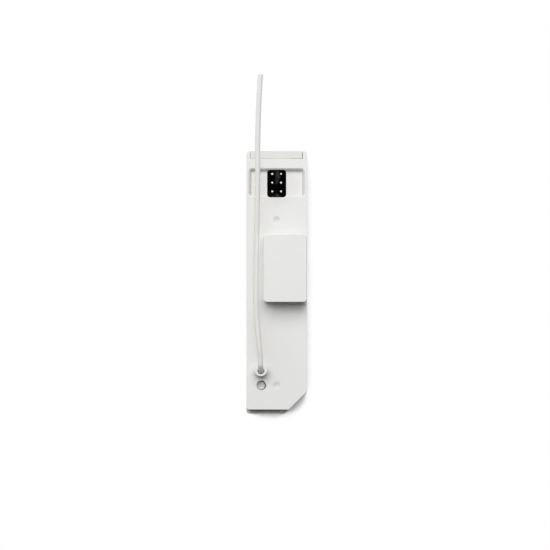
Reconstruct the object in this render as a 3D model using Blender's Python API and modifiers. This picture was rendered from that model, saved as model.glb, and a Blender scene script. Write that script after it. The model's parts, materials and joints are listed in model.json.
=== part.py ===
"""Plug-in radio module: a slim two-piece case lying on its back, with a connector, a press button
and a wire aerial. X runs across the case, Y along it to the connector end, Z out of the front face."""

import math

import bmesh
import bpy
from mathutils import Matrix, Vector

MM = 0.001

# Case
CASE_WIDTH = 17.5 * MM
CASE_LENGTH = 76.0 * MM
CASE_HEIGHT = 9.0 * MM
WALL = 1.2 * MM
CORNER_RADIUS = 0.9 * MM
CUT_CORNER_RADIUS = 0.4 * MM
EDGE_RADIUS = 0.08 * MM
CUT_CORNER = 5.25 * MM
LEDGE = 1.27 * MM
PARTING_HEIGHT = 5.7 * MM
SEAM = 0.05 * MM
LIP_THICKNESS = 0.55 * MM
LIP_HEIGHT = 0.75 * MM
LIP_CLEARANCE = 0.12 * MM
LIP_LOW_ENDS = {-1: -34.0 * MM, 1: -29.5 * MM}
LIP_HIGH_END = 33.5 * MM
CLEARANCE = 0.1 * MM
LOWER_WALL = LEDGE + WALL + 0.13 * MM

# Tongue of the rear case in the notch of the cover
TONGUE_LEFT = -7.52 * MM
TONGUE_RIGHT = 7.37 * MM
TONGUE_DEPTH = 2.16 * MM
TONGUE_DROP = 0.05 * MM
TONGUE_CORNER = 0.1 * MM
TONGUE_STEP_X = 4.1 * MM
TONGUE_STEP = 0.05 * MM
NOTCH_GAP_LEFT = 0.09 * MM
NOTCH_GAP_RIGHT = 0.18 * MM
NOTCH_GAP_BELOW = 0.04 * MM

# Pocket round the connector
POCKET_LOW = 24.7 * MM
POCKET_HIGH = 33.3 * MM
POCKET_HALF_WIDTH = 8.45 * MM
POCKET_DEPTH = 1.25 * MM
POCKET_RIM = 1.05 * MM
POCKET_LOWER_RIM = 0.35 * MM
POCKET_CORNER = 1.45 * MM
POCKET_FLOOR = 1.0 * MM

# Raised block
BLOCK_LEFT = -3.79 * MM
BLOCK_RIGHT = 8.64 * MM
BLOCK_LOW = -5.61 * MM
BLOCK_HIGH = 13.96 * MM
BLOCK_RISE = 5.0 * MM
BLOCK_CORNER = 0.95 * MM
BLOCK_EDGE = 0.15 * MM

# Gate dimples, with the posts under them that hold the board down
DIMPLE_Y = (18.03 * MM, -29.68 * MM)
DIMPLE_RADIUS = 1.22 * MM
DIMPLE_DEPTH = 0.22 * MM
DIMPLE_TIP_RADIUS = 0.2 * MM
DIMPLE_TIP_SHIFT = 0.35 * MM
POST_RADIUS = 1.4 * MM

# Aerial and its boss
BOSS_CENTRE = Vector((-4.55 * MM, -25.17 * MM, 0))
BOSS_RADIUS = 1.92 * MM
BOSS_RISE = 2.5 * MM
BOSS_EDGE = 0.06 * MM
BOSS_DRAFT = 0.03 * MM
BORE_CENTRE = Vector((-4.54 * MM, -25.52 * MM, 0))
BORE_RADIUS = 0.93 * MM
BORE_LEAD_IN = 0.15 * MM
BORE_GUIDE = (0.7 * MM, 5.6 * MM)
AERIAL_DIAMETER = 1.5 * MM
AERIAL_BEND = 3.0 * MM
AERIAL_BEND_DIP = 0.8 * MM
AERIAL_STAND = 0.3 * MM
AERIAL_CORE_RADIUS = 0.3 * MM
SOLDER_RADIUS = 0.85 * MM

# Button hole and the switch behind it
HOLE_CENTRE = Vector((-4.44 * MM, -29.71 * MM, 0))
HOLE_RADIUS = 1.38 * MM
HOLE_GUIDE = (0.6 * MM, 6.4 * MM)
SWITCH_CENTRE = HOLE_CENTRE + Vector((-0.13 * MM, -0.06 * MM, 0))
SWITCH_SIDE = 4.5 * MM
SWITCH_HEIGHT = 1.65 * MM
SWITCH_CORNER = 0.3 * MM
STEM_RADIUS = 1.2 * MM
STEM_RECESS = 1.0 * MM
STEM_DISH = 0.15 * MM
STEM_EDGE = 0.08 * MM
NUB_RADIUS = 0.5 * MM
FLANGE_RADIUS = 1.65 * MM
PLATE_THICKNESS = 0.25 * MM
PLATE_EAR_HALF = 0.6 * MM
TERMINAL_PLACE = 1.5 * MM
TERMINAL_WIDTH = 0.7 * MM
TERMINAL_REACH = 0.75 * MM
TERMINAL_RISE = 0.6 * MM
TERMINAL_THICKNESS = 0.18 * MM
WELL_FLOOR = 0.55 * MM
DOME_RADIUS = 1.7 * MM
DOME_RISE = 0.35 * MM
DOME_THICKNESS = 0.12 * MM

# Snap tabs of the cover, on both long sides
TAB_Y = (-17.0 * MM, 19.0 * MM)
TAB_WIDTH = 4.0 * MM
TAB_THICKNESS = 0.8 * MM
TAB_REACH = 2.1 * MM
HOOK_DEPTH = 0.35 * MM
HOOK_HEIGHT = 0.8 * MM
HOOK_LAND = 0.15 * MM

# Circuit board
BOARD_TOP = 2.9 * MM
BOARD_THICKNESS = 1.0 * MM
BOARD_MARGIN = 0.3 * MM
PEG_RADIUS = 0.7 * MM
PEG_PROUD = 0.6 * MM
PAD_HALF = Vector((1.2 * MM, 1.6 * MM, 0))
PEG_PLACES = ((5.9 * MM, 21.5 * MM), (5.9 * MM, -25.5 * MM))
PAD_PLACES = ((-5.6 * MM, 32.5 * MM), (5.6 * MM, 32.5 * MM), (-5.6 * MM, -32.5 * MM), (1.2 * MM, -32.5 * MM))

# Connector
CONNECTOR_CENTRE = Vector((0, 28.6 * MM, 0))
CONNECTOR_WIDTH = 5.35 * MM
CONNECTOR_LENGTH = 7.8 * MM
CONNECTOR_PROUD = 0.1 * MM
CONNECTOR_CORNER = 0.85 * MM
CONNECTOR_EDGE = 0.12 * MM
CONTACT_PITCH = 2.54 * MM
CONTACT_SHIFT = 0.25 * MM
CONTACT_SIDE = 0.64 * MM
CONTACT_RECESS = 0.12 * MM
CONTACT_TAIL = 0.5 * MM
CONTACT_HOLE_RADIUS = 0.55 * MM
CONTACT_POINT = 0.2 * MM
FUNNEL_FLARE = 0.2 * MM
FUNNEL_DEPTH = 0.3 * MM
WINDOW_GAP = 0.08 * MM

# Storage capacitor lying under the raised block
CAN_RADIUS = 4.0 * MM
CAN_LENGTH = 16.0 * MM
CAN_MIDDLE_Y = 4.2 * MM
CAN_CRIMP = 0.35 * MM
CAN_CRIMP_LEVELS = (2.6 * MM, 2.2 * MM, 1.7 * MM, 1.3 * MM)
CAN_EDGE = 0.5 * MM
CAN_MOUTH = 3.2 * MM
BUNG_THICKNESS = 1.3 * MM
LEAD_PITCH = 3.5 * MM
LEAD_RADIUS = 0.3 * MM
LEAD_BEND = 0.8 * MM
LEAD_REACH = 2.0 * MM

# Chips on the board
RADIO_PLACE = Vector((-0.6 * MM, -19.6 * MM, 0))
RADIO_SIDE = 4.0 * MM
RADIO_HEIGHT = 0.85 * MM
CONTROLLER_PLACE = Vector((1.4 * MM, -12.0 * MM, 0))
CONTROLLER_SIZE = (4.4 * MM, 6.5 * MM, 1.0 * MM)
CHIP_STAND = 0.1 * MM
CHIP_LEADS_A_SIDE = 10
CHIP_LEAD_PITCH = 0.65 * MM
CHIP_LEAD_WIDTH = 0.24 * MM
CHIP_LEAD_THICKNESS = 0.15 * MM
CHIP_LEAD_REACH = 1.0 * MM
CRYSTAL_PLACE = Vector((4.4 * MM, -19.8 * MM, 0))
CRYSTAL_HALF = (1.6 * MM, 1.25 * MM)
CRYSTAL_RIM = 0.2 * MM
CRYSTAL_BASE = 0.4 * MM
CRYSTAL_HEIGHT = 0.75 * MM

# Levels worked out from the sizes above
HALF_WIDTH = CASE_WIDTH / 2
CASE_TOP_END = CASE_LENGTH / 2
CASE_LOW_END = -CASE_LENGTH / 2
COVER_LOW_END = CASE_LOW_END + LEDGE
CUT_CORNER_LINE = HALF_WIDTH - (COVER_LOW_END + CUT_CORNER)
INNER_HALF_WIDTH = HALF_WIDTH - WALL
TONGUE_LOW = CASE_TOP_END - TONGUE_DEPTH
BLOCK_TOP = CASE_HEIGHT + BLOCK_RISE
BOSS_TOP = CASE_HEIGHT + BOSS_RISE
POCKET_BED = CASE_HEIGHT - POCKET_DEPTH
CONNECTOR_TOP = POCKET_BED + CONNECTOR_PROUD
ON_BOARD = BOARD_TOP + SEAM
BOARD_UNDERSIDE = BOARD_TOP - BOARD_THICKNESS
CAN_CENTRE = Vector(((BLOCK_LEFT + BLOCK_RIGHT) / 2, CAN_MIDDLE_Y, ON_BOARD + CAN_RADIUS))

# Route of the free aerial past its bend, as (x, y, z): it sinks to the face and lies along it
AERIAL_ROUTE = [
    (x * MM, y * MM, z * MM)
    for x, y, z in (
        (-4.83, -20.20, 13.55),
        (-5.14, -17.00, 12.85),
        (-5.50, -13.40, 12.00),
        (-5.80, -9.60, 11.20),
        (-6.00, -5.40, 10.55),
        (-6.03, 0.60, 10.10),
        (-5.92, 6.50, 9.93),
        (-5.81, 13.40, 9.87),
        (-5.66, 20.40, 9.86),
        (-5.54, 27.30, 9.86),
        (-5.48, 34.20, 9.86),
        (-5.47, 41.20, 9.82),
        (-5.38, 46.00, 9.74),
        (-5.19, 51.00, 9.62),
        (-4.95, 56.00, 9.46),
        (-4.68, 60.20, 9.30),
    )
]

# Small parts on the board: name, length, width, height, middle x and y, turn in degrees
BOARD_CHIPS = (
    ("matching_inductor_1", 2.0, 1.25, 1.0, -1.7, -23.4, 0),
    ("matching_inductor_2", 2.0, 1.25, 1.0, 1.2, -23.9, 90),
    ("chip_capacitor_1", 1.6, 0.8, 0.8, -1.8, -25.4, 0),
    ("chip_capacitor_2", 1.6, 0.8, 0.8, 3.2, -24.2, 90),
    ("chip_capacitor_3", 1.6, 0.8, 0.8, -4.2, -16.2, 90),
    ("chip_capacitor_4", 1.6, 0.8, 0.8, -4.2, -13.4, 90),
    ("chip_capacitor_5", 1.6, 0.8, 0.8, 5.4, 25.4, 90),
    ("chip_resistor_1", 1.6, 0.8, 0.5, -5.0, 25.0, 90),
    ("chip_resistor_2", 1.6, 0.8, 0.5, -5.0, 28.6, 90),
    ("chip_resistor_3", 1.6, 0.8, 0.5, 5.4, 29.2, 90),
    ("chip_resistor_4", 1.6, 0.8, 0.5, -4.2, -10.4, 90),
)


def clear_scene():
    for old in list(bpy.data.objects):
        bpy.data.objects.remove(old, do_unlink=True)


def new_collection(name):
    collection = bpy.data.collections.new(name)
    bpy.context.scene.collection.children.link(collection)
    return collection


clear_scene()
MODULE = new_collection("radio_module")
CUTTERS = new_collection("cutters")


def finish(name, colour, roughness, metallic=0.0):
    """A plain material in the part's own colour."""
    made = bpy.data.materials.new(name)
    made.use_nodes = True
    shader = made.node_tree.nodes["Principled BSDF"]
    shader.inputs["Base Color"].default_value = (*colour, 1)
    shader.inputs["Roughness"].default_value = roughness
    shader.inputs["Metallic"].default_value = metallic
    return made


def rounded(corners, segments=8):
    """Outline through (x, y, radius) corners listed anticlockwise, each drawn as an arc."""
    points = []
    for i, (x, y, radius) in enumerate(corners):
        corner = Vector((x, y))
        back = (Vector(corners[i - 1][:2]) - corner).normalized()
        ahead = (Vector(corners[(i + 1) % len(corners)][:2]) - corner).normalized()
        half_angle = back.angle(ahead) / 2
        centre = corner + (back + ahead).normalized() * (radius / math.sin(half_angle))
        first = corner + back * (radius / math.tan(half_angle)) - centre
        turn = (math.pi - 2 * half_angle) / segments
        for step in range(segments + 1):
            arm = first.copy()
            arm.rotate(Matrix.Rotation(turn * step, 2))
            points.append(centre + arm)
    return points


def rectangle(left, low, right, high, radius):
    return [(left, low, radius), (right, low, radius), (right, high, radius), (left, high, radius)]


def circle(centre, radius, segments=16):
    turns = [2 * math.pi * step / segments for step in range(segments)]
    return [centre.xy + Vector((math.cos(turn), math.sin(turn))) * radius for turn in turns]


def case_corners(inset, low, high):
    """Corners of the case outline drawn in by an inset, with the lower right corner cut at 45 degrees."""
    side = HALF_WIDTH - inset
    line = CUT_CORNER_LINE - inset * math.sqrt(2)
    radius = max(CORNER_RADIUS - inset, CUT_CORNER_RADIUS)
    return [
        (-side, low, radius),
        (line + low, low, CUT_CORNER_RADIUS),
        (side, side - line, CUT_CORNER_RADIUS),
        (side, high, radius),
        (-side, high, radius),
    ]


def plain_mesh(holder, place=None):
    """The evaluated shape of a helper object as a welded mesh, and the helper removed."""
    bpy.context.scene.collection.objects.link(holder)
    graph = bpy.context.evaluated_depsgraph_get()
    mesh = bpy.data.meshes.new_from_object(holder.evaluated_get(graph))
    bpy.data.objects.remove(holder, do_unlink=True)
    shape = bmesh.new()
    shape.from_mesh(mesh)
    bmesh.ops.remove_doubles(shape, verts=shape.verts, dist=0.001 * MM)
    bmesh.ops.dissolve_limit(shape, angle_limit=math.radians(0.5), verts=shape.verts, edges=shape.edges)
    bmesh.ops.recalc_face_normals(shape, faces=shape.faces)
    if place is not None:
        shape.transform(place)
    shape.to_mesh(mesh)
    shape.free()
    return mesh


def prism(outlines, low, high):
    """A flat outline, with any further outlines as holes in it, between two heights."""
    curve = bpy.data.curves.new("outline", "CURVE")
    curve.dimensions = "2D"
    curve.fill_mode = "BOTH"
    curve.extrude = (high - low) / 2
    for outline in outlines:
        spline = curve.splines.new("POLY")
        spline.points.add(len(outline) - 1)
        spline.use_cyclic_u = True
        for point, (x, y) in zip(spline.points, outline):
            point.co = (x, y, 0, 1)
    holder = bpy.data.objects.new("outline", curve)
    return plain_mesh(holder, Matrix.Translation((0, 0, (low + high) / 2)))


def bar(section, start, end):
    """An (x, z) section drawn along Y."""
    turned_up = Matrix.Rotation(math.pi / 2, 4, "X")
    mesh = prism([section], -end, -start)
    mesh.transform(turned_up)
    return mesh


def box(low, high):
    """A block between two opposite corners."""
    size = Vector(high) - Vector(low)
    middle = (Vector(high) + Vector(low)) / 2
    mesh = bpy.data.meshes.new("box")
    shape = bmesh.new()
    bmesh.ops.create_cube(shape, size=1, matrix=Matrix.LocRotScale(middle, None, size))
    shape.to_mesh(mesh)
    shape.free()
    return mesh


def turned(profile, centre=(0, 0, 0), steps=40):
    """A (radius, height) profile, listed down its outer side, spun about Z."""
    mesh = bpy.data.meshes.new("profile")
    points = [(radius, 0, height) for radius, height in profile]
    mesh.from_pydata(points, [(i, i + 1) for i in range(len(points) - 1)], [])
    holder = bpy.data.objects.new("profile", mesh)
    spin = holder.modifiers.new("Spin", "SCREW")
    spin.steps = spin.render_steps = steps
    spin.use_merge_vertices = True
    spin.merge_threshold = 0.001 * MM
    return plain_mesh(holder, Matrix.Translation(centre))


def square_bar(profile, centre=(0, 0, 0)):
    """A (half side, height) profile, listed top to bottom, as a bar of square section."""
    mesh = turned([(half * math.sqrt(2), height) for half, height in profile], steps=4)
    mesh.transform(Matrix.Translation(centre) @ Matrix.Rotation(math.pi / 4, 4, "Z"))
    return mesh


def pillar(centre, radius, low, high, steps=24):
    return turned([(0, high), (radius, high), (radius, low), (0, low)], (centre[0], centre[1], 0), steps)


def loft(rings):
    """A closed solid through rings of points that match one to one, lowest ring first."""
    shape = bmesh.new()
    loops = [[shape.verts.new(point) for point in ring] for ring in rings]
    for below, above in zip(loops, loops[1:]):
        for i in range(len(below)):
            j = (i + 1) % len(below)
            shape.faces.new((below[i], below[j], above[j], above[i]))
    shape.faces.new(reversed(loops[0]))
    shape.faces.new(loops[-1])
    bmesh.ops.recalc_face_normals(shape, faces=shape.faces)
    mesh = bpy.data.meshes.new("loft")
    shape.to_mesh(mesh)
    shape.free()
    return mesh


def wire(points, radius, resolution=2):
    """A round wire along a list of points, as a curve with filled ends."""
    curve = bpy.data.curves.new("wire", "CURVE")
    curve.dimensions = "3D"
    curve.bevel_depth = radius
    curve.bevel_resolution = resolution
    curve.use_fill_caps = True
    spline = curve.splines.new("POLY")
    spline.points.add(len(points) - 1)
    for point, place in zip(spline.points, points):
        point.co = (*place, 1)
    return curve


def smooth_points(route, spacing, most_turn):
    """Points on a smooth curve through the route: one each spacing, and closer where it turns."""
    route = [Vector(point) for point in route]
    ends = [2 * route[0] - route[1], *route, 2 * route[-1] - route[-2]]
    fine = []
    for a, b, c, d in zip(ends, ends[1:], ends[2:], ends[3:]):
        for step in range(24):
            t = step / 24
            square = 2 * a - 5 * b + 4 * c - d
            cube = 3 * b - a - 3 * c + d
            fine.append((2 * b + (c - a) * t + square * t**2 + cube * t**3) / 2)
    fine.append(route[-1])
    kept = [fine[0]]
    heading = fine[1] - fine[0]
    for here, after in zip(fine[1:], fine[2:]):
        if (here - kept[-1]).length > spacing or heading.angle(after - here) > most_turn:
            kept.append(here)
            heading = after - here
    return [*kept, fine[-1]]


def part(name, data, material, location=(0, 0, 0)):
    made = bpy.data.objects.new(name, data)
    made.location = location
    data.materials.clear()
    data.materials.append(material)
    MODULE.objects.link(made)
    if isinstance(data, bpy.types.Mesh):
        data.shade_smooth()
        data.set_sharp_from_angle(angle=math.radians(30))
    return made


def soften(target, width, segments=2):
    """Rounds every sharp edge that the object has so far."""
    bevel = target.modifiers.new("Soft edges", "BEVEL")
    bevel.width = width
    bevel.segments = segments
    bevel.limit_method = "ANGLE"
    bevel.angle_limit = math.radians(40)
    return target


def combine(target, name, mesh, operation):
    """Adds or cuts a shape, which is kept as a hidden helper."""
    helper = bpy.data.objects.new(name, mesh)
    helper.hide_render = True
    helper.display_type = "WIRE"
    CUTTERS.objects.link(helper)
    boolean = target.modifiers.new(name, "BOOLEAN")
    boolean.operation = operation
    boolean.solver = "EXACT"
    boolean.object = helper
    return helper


def add(target, name, mesh):
    return combine(target, name, mesh, "UNION")


def cut(target, name, mesh):
    return combine(target, name, mesh, "DIFFERENCE")


def mirrored_section(section, side):
    """An (x, z) section on the right side of the case, or flipped to the left for side -1."""
    return [(x * side, z) for x, z in section][::side]


def tab_section():
    """Snap tab in section: a root in the cover's wall, a springy leaf and a hook at its end."""
    outer = INNER_HALF_WIDTH - CLEARANCE
    inner = outer - TAB_THICKNESS
    root = INNER_HALF_WIDTH + WALL / 4
    top = CASE_HEIGHT - WALL + CLEARANCE
    low = PARTING_HEIGHT - TAB_REACH
    root_low = PARTING_HEIGHT + LIP_HEIGHT + 2.5 * LIP_CLEARANCE
    catch = low + HOOK_HEIGHT
    return [
        (inner, low),
        (outer - HOOK_LAND, low),
        (outer + HOOK_DEPTH, catch - HOOK_LAND),
        (outer + HOOK_DEPTH, catch),
        (outer, catch),
        (outer, root_low),
        (root, root_low),
        (root, top),
        (inner, top),
    ]


def tab_places():
    return [(side, middle) for side in (-1, 1) for middle in TAB_Y]


def tongue_corners():
    """Tongue of the rear case, whose lower edge has a slight step near its right end."""
    step = TONGUE_STEP / 4
    return [
        (TONGUE_LEFT, TONGUE_LOW, TONGUE_CORNER),
        (TONGUE_STEP_X, TONGUE_LOW, step),
        (TONGUE_STEP_X, TONGUE_LOW + TONGUE_STEP, step),
        (TONGUE_RIGHT, TONGUE_LOW + TONGUE_STEP, TONGUE_CORNER),
        (TONGUE_RIGHT, CASE_TOP_END, TONGUE_CORNER),
        (TONGUE_LEFT, CASE_TOP_END, TONGUE_CORNER),
    ]


def rear_case(plastic):
    """Tray with a ledge at its lower end, a tongue at its upper end and a lip inside the seam."""
    top = PARTING_HEIGHT - SEAM
    outline = rounded(case_corners(0, CASE_LOW_END, CASE_TOP_END))
    tray = soften(part("rear_case", prism([outline], 0, top), plastic), EDGE_RADIUS)

    tongue = prism([rounded(tongue_corners(), 2)], WALL, CASE_HEIGHT - TONGUE_DROP)
    add(tray, "tongue", tongue)

    inner = case_corners(WALL, CASE_LOW_END + LOWER_WALL, TONGUE_LOW)
    cut(tray, "tray_hollow", prism([rounded(inner)], WALL, CASE_HEIGHT + WALL))

    lip_outer = INNER_HALF_WIDTH + LIP_THICKNESS
    for side, low in LIP_LOW_ENDS.items():
        near, far = sorted((side * INNER_HALF_WIDTH, side * lip_outer))
        lip = box((near, low, top - WALL / 2), (far, LIP_HIGH_END, PARTING_HEIGHT + LIP_HEIGHT))
        add(tray, "seam_lip", lip)

    for x, y in PAD_PLACES:
        low = Vector((x, y, WALL / 2)) - PAD_HALF
        high = Vector((x, y, BOARD_UNDERSIDE - SEAM)) + PAD_HALF
        add(tray, "board_pad", box(low, high))
    for place in PEG_PLACES:
        add(tray, "board_foot", pillar(place, 2 * PEG_RADIUS, WALL / 2, BOARD_UNDERSIDE - SEAM))
        add(tray, "board_peg", pillar(place, PEG_RADIUS, WALL / 2, BOARD_TOP + PEG_PROUD))

    hook_low = PARTING_HEIGHT - TAB_REACH
    for side, middle in tab_places():
        near, far = sorted((side * (INNER_HALF_WIDTH - WALL), side * (INNER_HALF_WIDTH + HOOK_DEPTH)))
        half = TAB_WIDTH / 2 + CLEARANCE
        recess = box(
            (near, middle - half, hook_low - CLEARANCE),
            (far, middle + half, hook_low + HOOK_HEIGHT + CLEARANCE),
        )
        cut(tray, "hook_recess", recess)
    return tray


def pocket_cutter():
    """Pocket with a quarter-round rim, tighter at its lower end: it rolls from the floor into the face."""
    steps = 6
    rings = []
    for i in range(steps + 1):
        turn = math.pi / 2 * (1 - i / steps)
        inset = POCKET_RIM * math.sin(turn)
        height = CASE_HEIGHT - POCKET_DEPTH * (1 - math.cos(turn))
        half_width = POCKET_HALF_WIDTH - inset
        low = POCKET_LOW + POCKET_LOWER_RIM * math.sin(turn)
        radius = POCKET_CORNER - inset
        outline = rounded(rectangle(-half_width, low, half_width, POCKET_HIGH - inset, radius))
        rings.append([(x, y, height) for x, y in outline])
    rings.append([(x, y, CASE_HEIGHT + WALL) for x, y, _ in rings[-1]])
    return loft(rings)


def dimple_cutter(y):
    """Shallow cone whose tip lies off its middle, so that its upper side is the steeper one."""
    tip = circle(Vector((0, y + DIMPLE_TIP_SHIFT)), DIMPLE_TIP_RADIUS, 40)
    rim = circle(Vector((0, y)), DIMPLE_RADIUS, 40)
    rings = [(tip, CASE_HEIGHT - DIMPLE_DEPTH), (rim, CASE_HEIGHT), (rim, CASE_HEIGHT + WALL)]
    return loft([[(*point, height) for point in ring] for ring, height in rings])


def front_cover(plastic):
    """Moulded cover: pocket, raised block, aerial boss, button hole, notch, posts and snap tabs."""
    low = PARTING_HEIGHT + SEAM
    under_face = CASE_HEIGHT - WALL
    outline = rounded(case_corners(0, COVER_LOW_END, CASE_TOP_END))
    cover = soften(part("front_cover", prism([outline], low, CASE_HEIGHT), plastic), EDGE_RADIUS)

    block_outline = rectangle(BLOCK_LEFT, BLOCK_LOW, BLOCK_RIGHT, BLOCK_HIGH, BLOCK_CORNER)
    block = add(cover, "raised_block", prism([rounded(block_outline)], under_face, BLOCK_TOP))
    soften(block, BLOCK_EDGE)

    boss_side = BOSS_RADIUS - BOSS_DRAFT
    boss = [(0, BOSS_TOP), (boss_side - BOSS_EDGE, BOSS_TOP), (boss_side, BOSS_TOP - BOSS_EDGE)]
    boss += [(BOSS_RADIUS, under_face), (0, under_face)]
    add(cover, "aerial_boss", turned(boss, BOSS_CENTRE))

    hollow = rounded(case_corners(WALL, COVER_LOW_END + WALL, CASE_TOP_END - WALL))
    cut(cover, "cover_hollow", prism([hollow], 0, under_face))
    overlap = WALL / 2
    pocket_floor = box(
        (-INNER_HALF_WIDTH - overlap, POCKET_LOW - overlap, POCKET_BED - POCKET_FLOOR),
        (INNER_HALF_WIDTH + overlap, TONGUE_LOW + overlap, under_face + overlap),
    )
    add(cover, "pocket_floor", pocket_floor)
    inside_block = rectangle(
        BLOCK_LEFT + WALL, BLOCK_LOW + WALL, BLOCK_RIGHT - WALL, BLOCK_HIGH - WALL, BLOCK_CORNER / 2
    )
    cut(cover, "block_hollow", prism([rounded(inside_block, 3)], PARTING_HEIGHT, BLOCK_TOP - WALL))

    for y in DIMPLE_Y:
        add(cover, "board_post", pillar((0, y), POST_RADIUS, ON_BOARD, under_face + WALL / 2))
    guides = (
        ("button_guide", HOLE_CENTRE, HOLE_RADIUS, HOLE_GUIDE),
        ("aerial_guide", BORE_CENTRE, BORE_RADIUS, BORE_GUIDE),
    )
    for name, centre, radius, (wall, guide_low) in guides:
        add(cover, name, pillar(centre, radius + wall, guide_low, under_face + WALL / 2))
    for side, middle in tab_places():
        section = mirrored_section(tab_section(), side)
        add(cover, "snap_tab", bar(section, middle - TAB_WIDTH / 2, middle + TAB_WIDTH / 2))

    cut(cover, "pocket", pocket_cutter())
    half_x = CONNECTOR_WIDTH / 2 + WINDOW_GAP
    half_y = CONNECTOR_LENGTH / 2 + WINDOW_GAP
    mid_y = CONNECTOR_CENTRE.y
    window = rectangle(-half_x, mid_y - half_y, half_x, mid_y + half_y, CONNECTOR_CORNER + WINDOW_GAP)
    cut(cover, "connector_window", prism([rounded(window)], PARTING_HEIGHT, CASE_HEIGHT + WALL))
    notch = box(
        (TONGUE_LEFT - NOTCH_GAP_LEFT, TONGUE_LOW - NOTCH_GAP_BELOW, 0),
        (TONGUE_RIGHT + NOTCH_GAP_RIGHT, CASE_TOP_END + WALL, CASE_HEIGHT + WALL),
    )
    cut(cover, "tongue_notch", notch)

    for y in DIMPLE_Y:
        cut(cover, "gate_dimple", dimple_cutter(y))
    cut(cover, "button_hole", pillar(HOLE_CENTRE, HOLE_RADIUS, PARTING_HEIGHT, CASE_HEIGHT + WALL, 32))
    mouth = BORE_RADIUS + BORE_LEAD_IN
    bore = [(0, BOSS_TOP + WALL), (mouth + WALL, BOSS_TOP + WALL), (mouth, BOSS_TOP)]
    bore += [(BORE_RADIUS, BOSS_TOP - BORE_LEAD_IN), (BORE_RADIUS, BOARD_TOP), (0, BOARD_TOP)]
    cut(cover, "aerial_bore", turned(bore, BORE_CENTRE))

    rebate_top = PARTING_HEIGHT + LIP_HEIGHT + LIP_CLEARANCE
    rebate_outer = INNER_HALF_WIDTH + LIP_THICKNESS + LIP_CLEARANCE
    for side, lip_end in LIP_LOW_ENDS.items():
        near, far = sorted((side * (INNER_HALF_WIDTH - SEAM), side * rebate_outer))
        low_corner = (near, lip_end - LIP_CLEARANCE, PARTING_HEIGHT - WALL)
        cut(cover, "seam_rebate", box(low_corner, (far, LIP_HIGH_END + LIP_CLEARANCE, rebate_top)))
    return cover


def contact_places():
    """Middles of the six contacts, row by row from the connector end."""
    return [
        CONNECTOR_CENTRE + Vector((column * CONTACT_PITCH / 2, CONTACT_SHIFT + row * CONTACT_PITCH, 0))
        for row in (1, 0, -1)
        for column in (-1, 1)
    ]


def circuit_board(laminate):
    """Board with holes for the contacts, the pegs, the aerial and the capacitor leads."""
    low = CASE_LOW_END + LOWER_WALL + BOARD_MARGIN
    outline = rounded(case_corners(WALL + BOARD_MARGIN, low, TONGUE_LOW - BOARD_MARGIN), 3)
    holes = [circle(place, CONTACT_HOLE_RADIUS, 12) for place in contact_places()]
    holes += [circle(Vector((*place, 0)), PEG_RADIUS + CLEARANCE) for place in PEG_PLACES]
    holes += [circle(BORE_CENTRE, AERIAL_CORE_RADIUS + CLEARANCE, 12)]
    holes += [circle(place, LEAD_RADIUS + CLEARANCE, 12) for place in lead_holes()]
    return part("circuit_board", prism([outline, *holes], BOARD_UNDERSIDE, BOARD_TOP), laminate)


def connector(plastic, plating):
    """Socket body with six funnel-mouthed passages, and a square contact in each."""
    half_x = CONNECTOR_WIDTH / 2
    half_y = CONNECTOR_LENGTH / 2
    outline = rounded(rectangle(-half_x, -half_y, half_x, half_y, CONNECTOR_CORNER))
    place = CONNECTOR_CENTRE + Vector((0, 0, ON_BOARD))
    height = CONNECTOR_TOP - ON_BOARD
    body = soften(part("connector_body", prism([outline], 0, height), plastic, place), CONNECTOR_EDGE)
    half = CONTACT_SIDE / 2
    bore = half + WINDOW_GAP
    mouth = CONNECTOR_TOP + CLEARANCE
    funnel = [(0, mouth), (bore + FUNNEL_FLARE, mouth), (bore, CONNECTOR_TOP - FUNNEL_DEPTH)]
    funnel += [(bore, BOARD_TOP - WALL), (0, BOARD_TOP - WALL)]
    tail = BOARD_UNDERSIDE - CONTACT_TAIL
    top = CONNECTOR_TOP - CONTACT_RECESS
    point = CONTACT_POINT
    pin = [(0, top), (half - point / 2, top), (half, top - point), (half, tail + point)]
    pin += [(half - point, tail), (0, tail)]
    contact = square_bar(pin)
    for number, middle in enumerate(contact_places(), 1):
        cut(body, "contact_passage", square_bar(funnel, middle))
        part(f"connector_contact_{number}", contact, plating, middle)


def aerial_points():
    """Way of the aerial: up through the boss, over in a round bend and along the face."""
    foot = BORE_CENTRE + Vector((0, 0, BOARD_TOP + AERIAL_STAND))
    rise_end = BORE_CENTRE + Vector((0, 0, BOSS_TOP - AERIAL_BEND_DIP))
    heading = (Vector(AERIAL_ROUTE[0]) - BORE_CENTRE).xy.normalized()
    points = [foot, foot.lerp(rise_end, 0.4), foot.lerp(rise_end, 0.8)]
    for degrees in (0, 25, 50, 75):
        turn = math.radians(degrees)
        forward = heading * (AERIAL_BEND * (1 - math.cos(turn)))
        points.append(rise_end + Vector((*forward, AERIAL_BEND * math.sin(turn))))
    return smooth_points([*points, *AERIAL_ROUTE], 2.5 * AERIAL_DIAMETER, math.radians(14))


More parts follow.
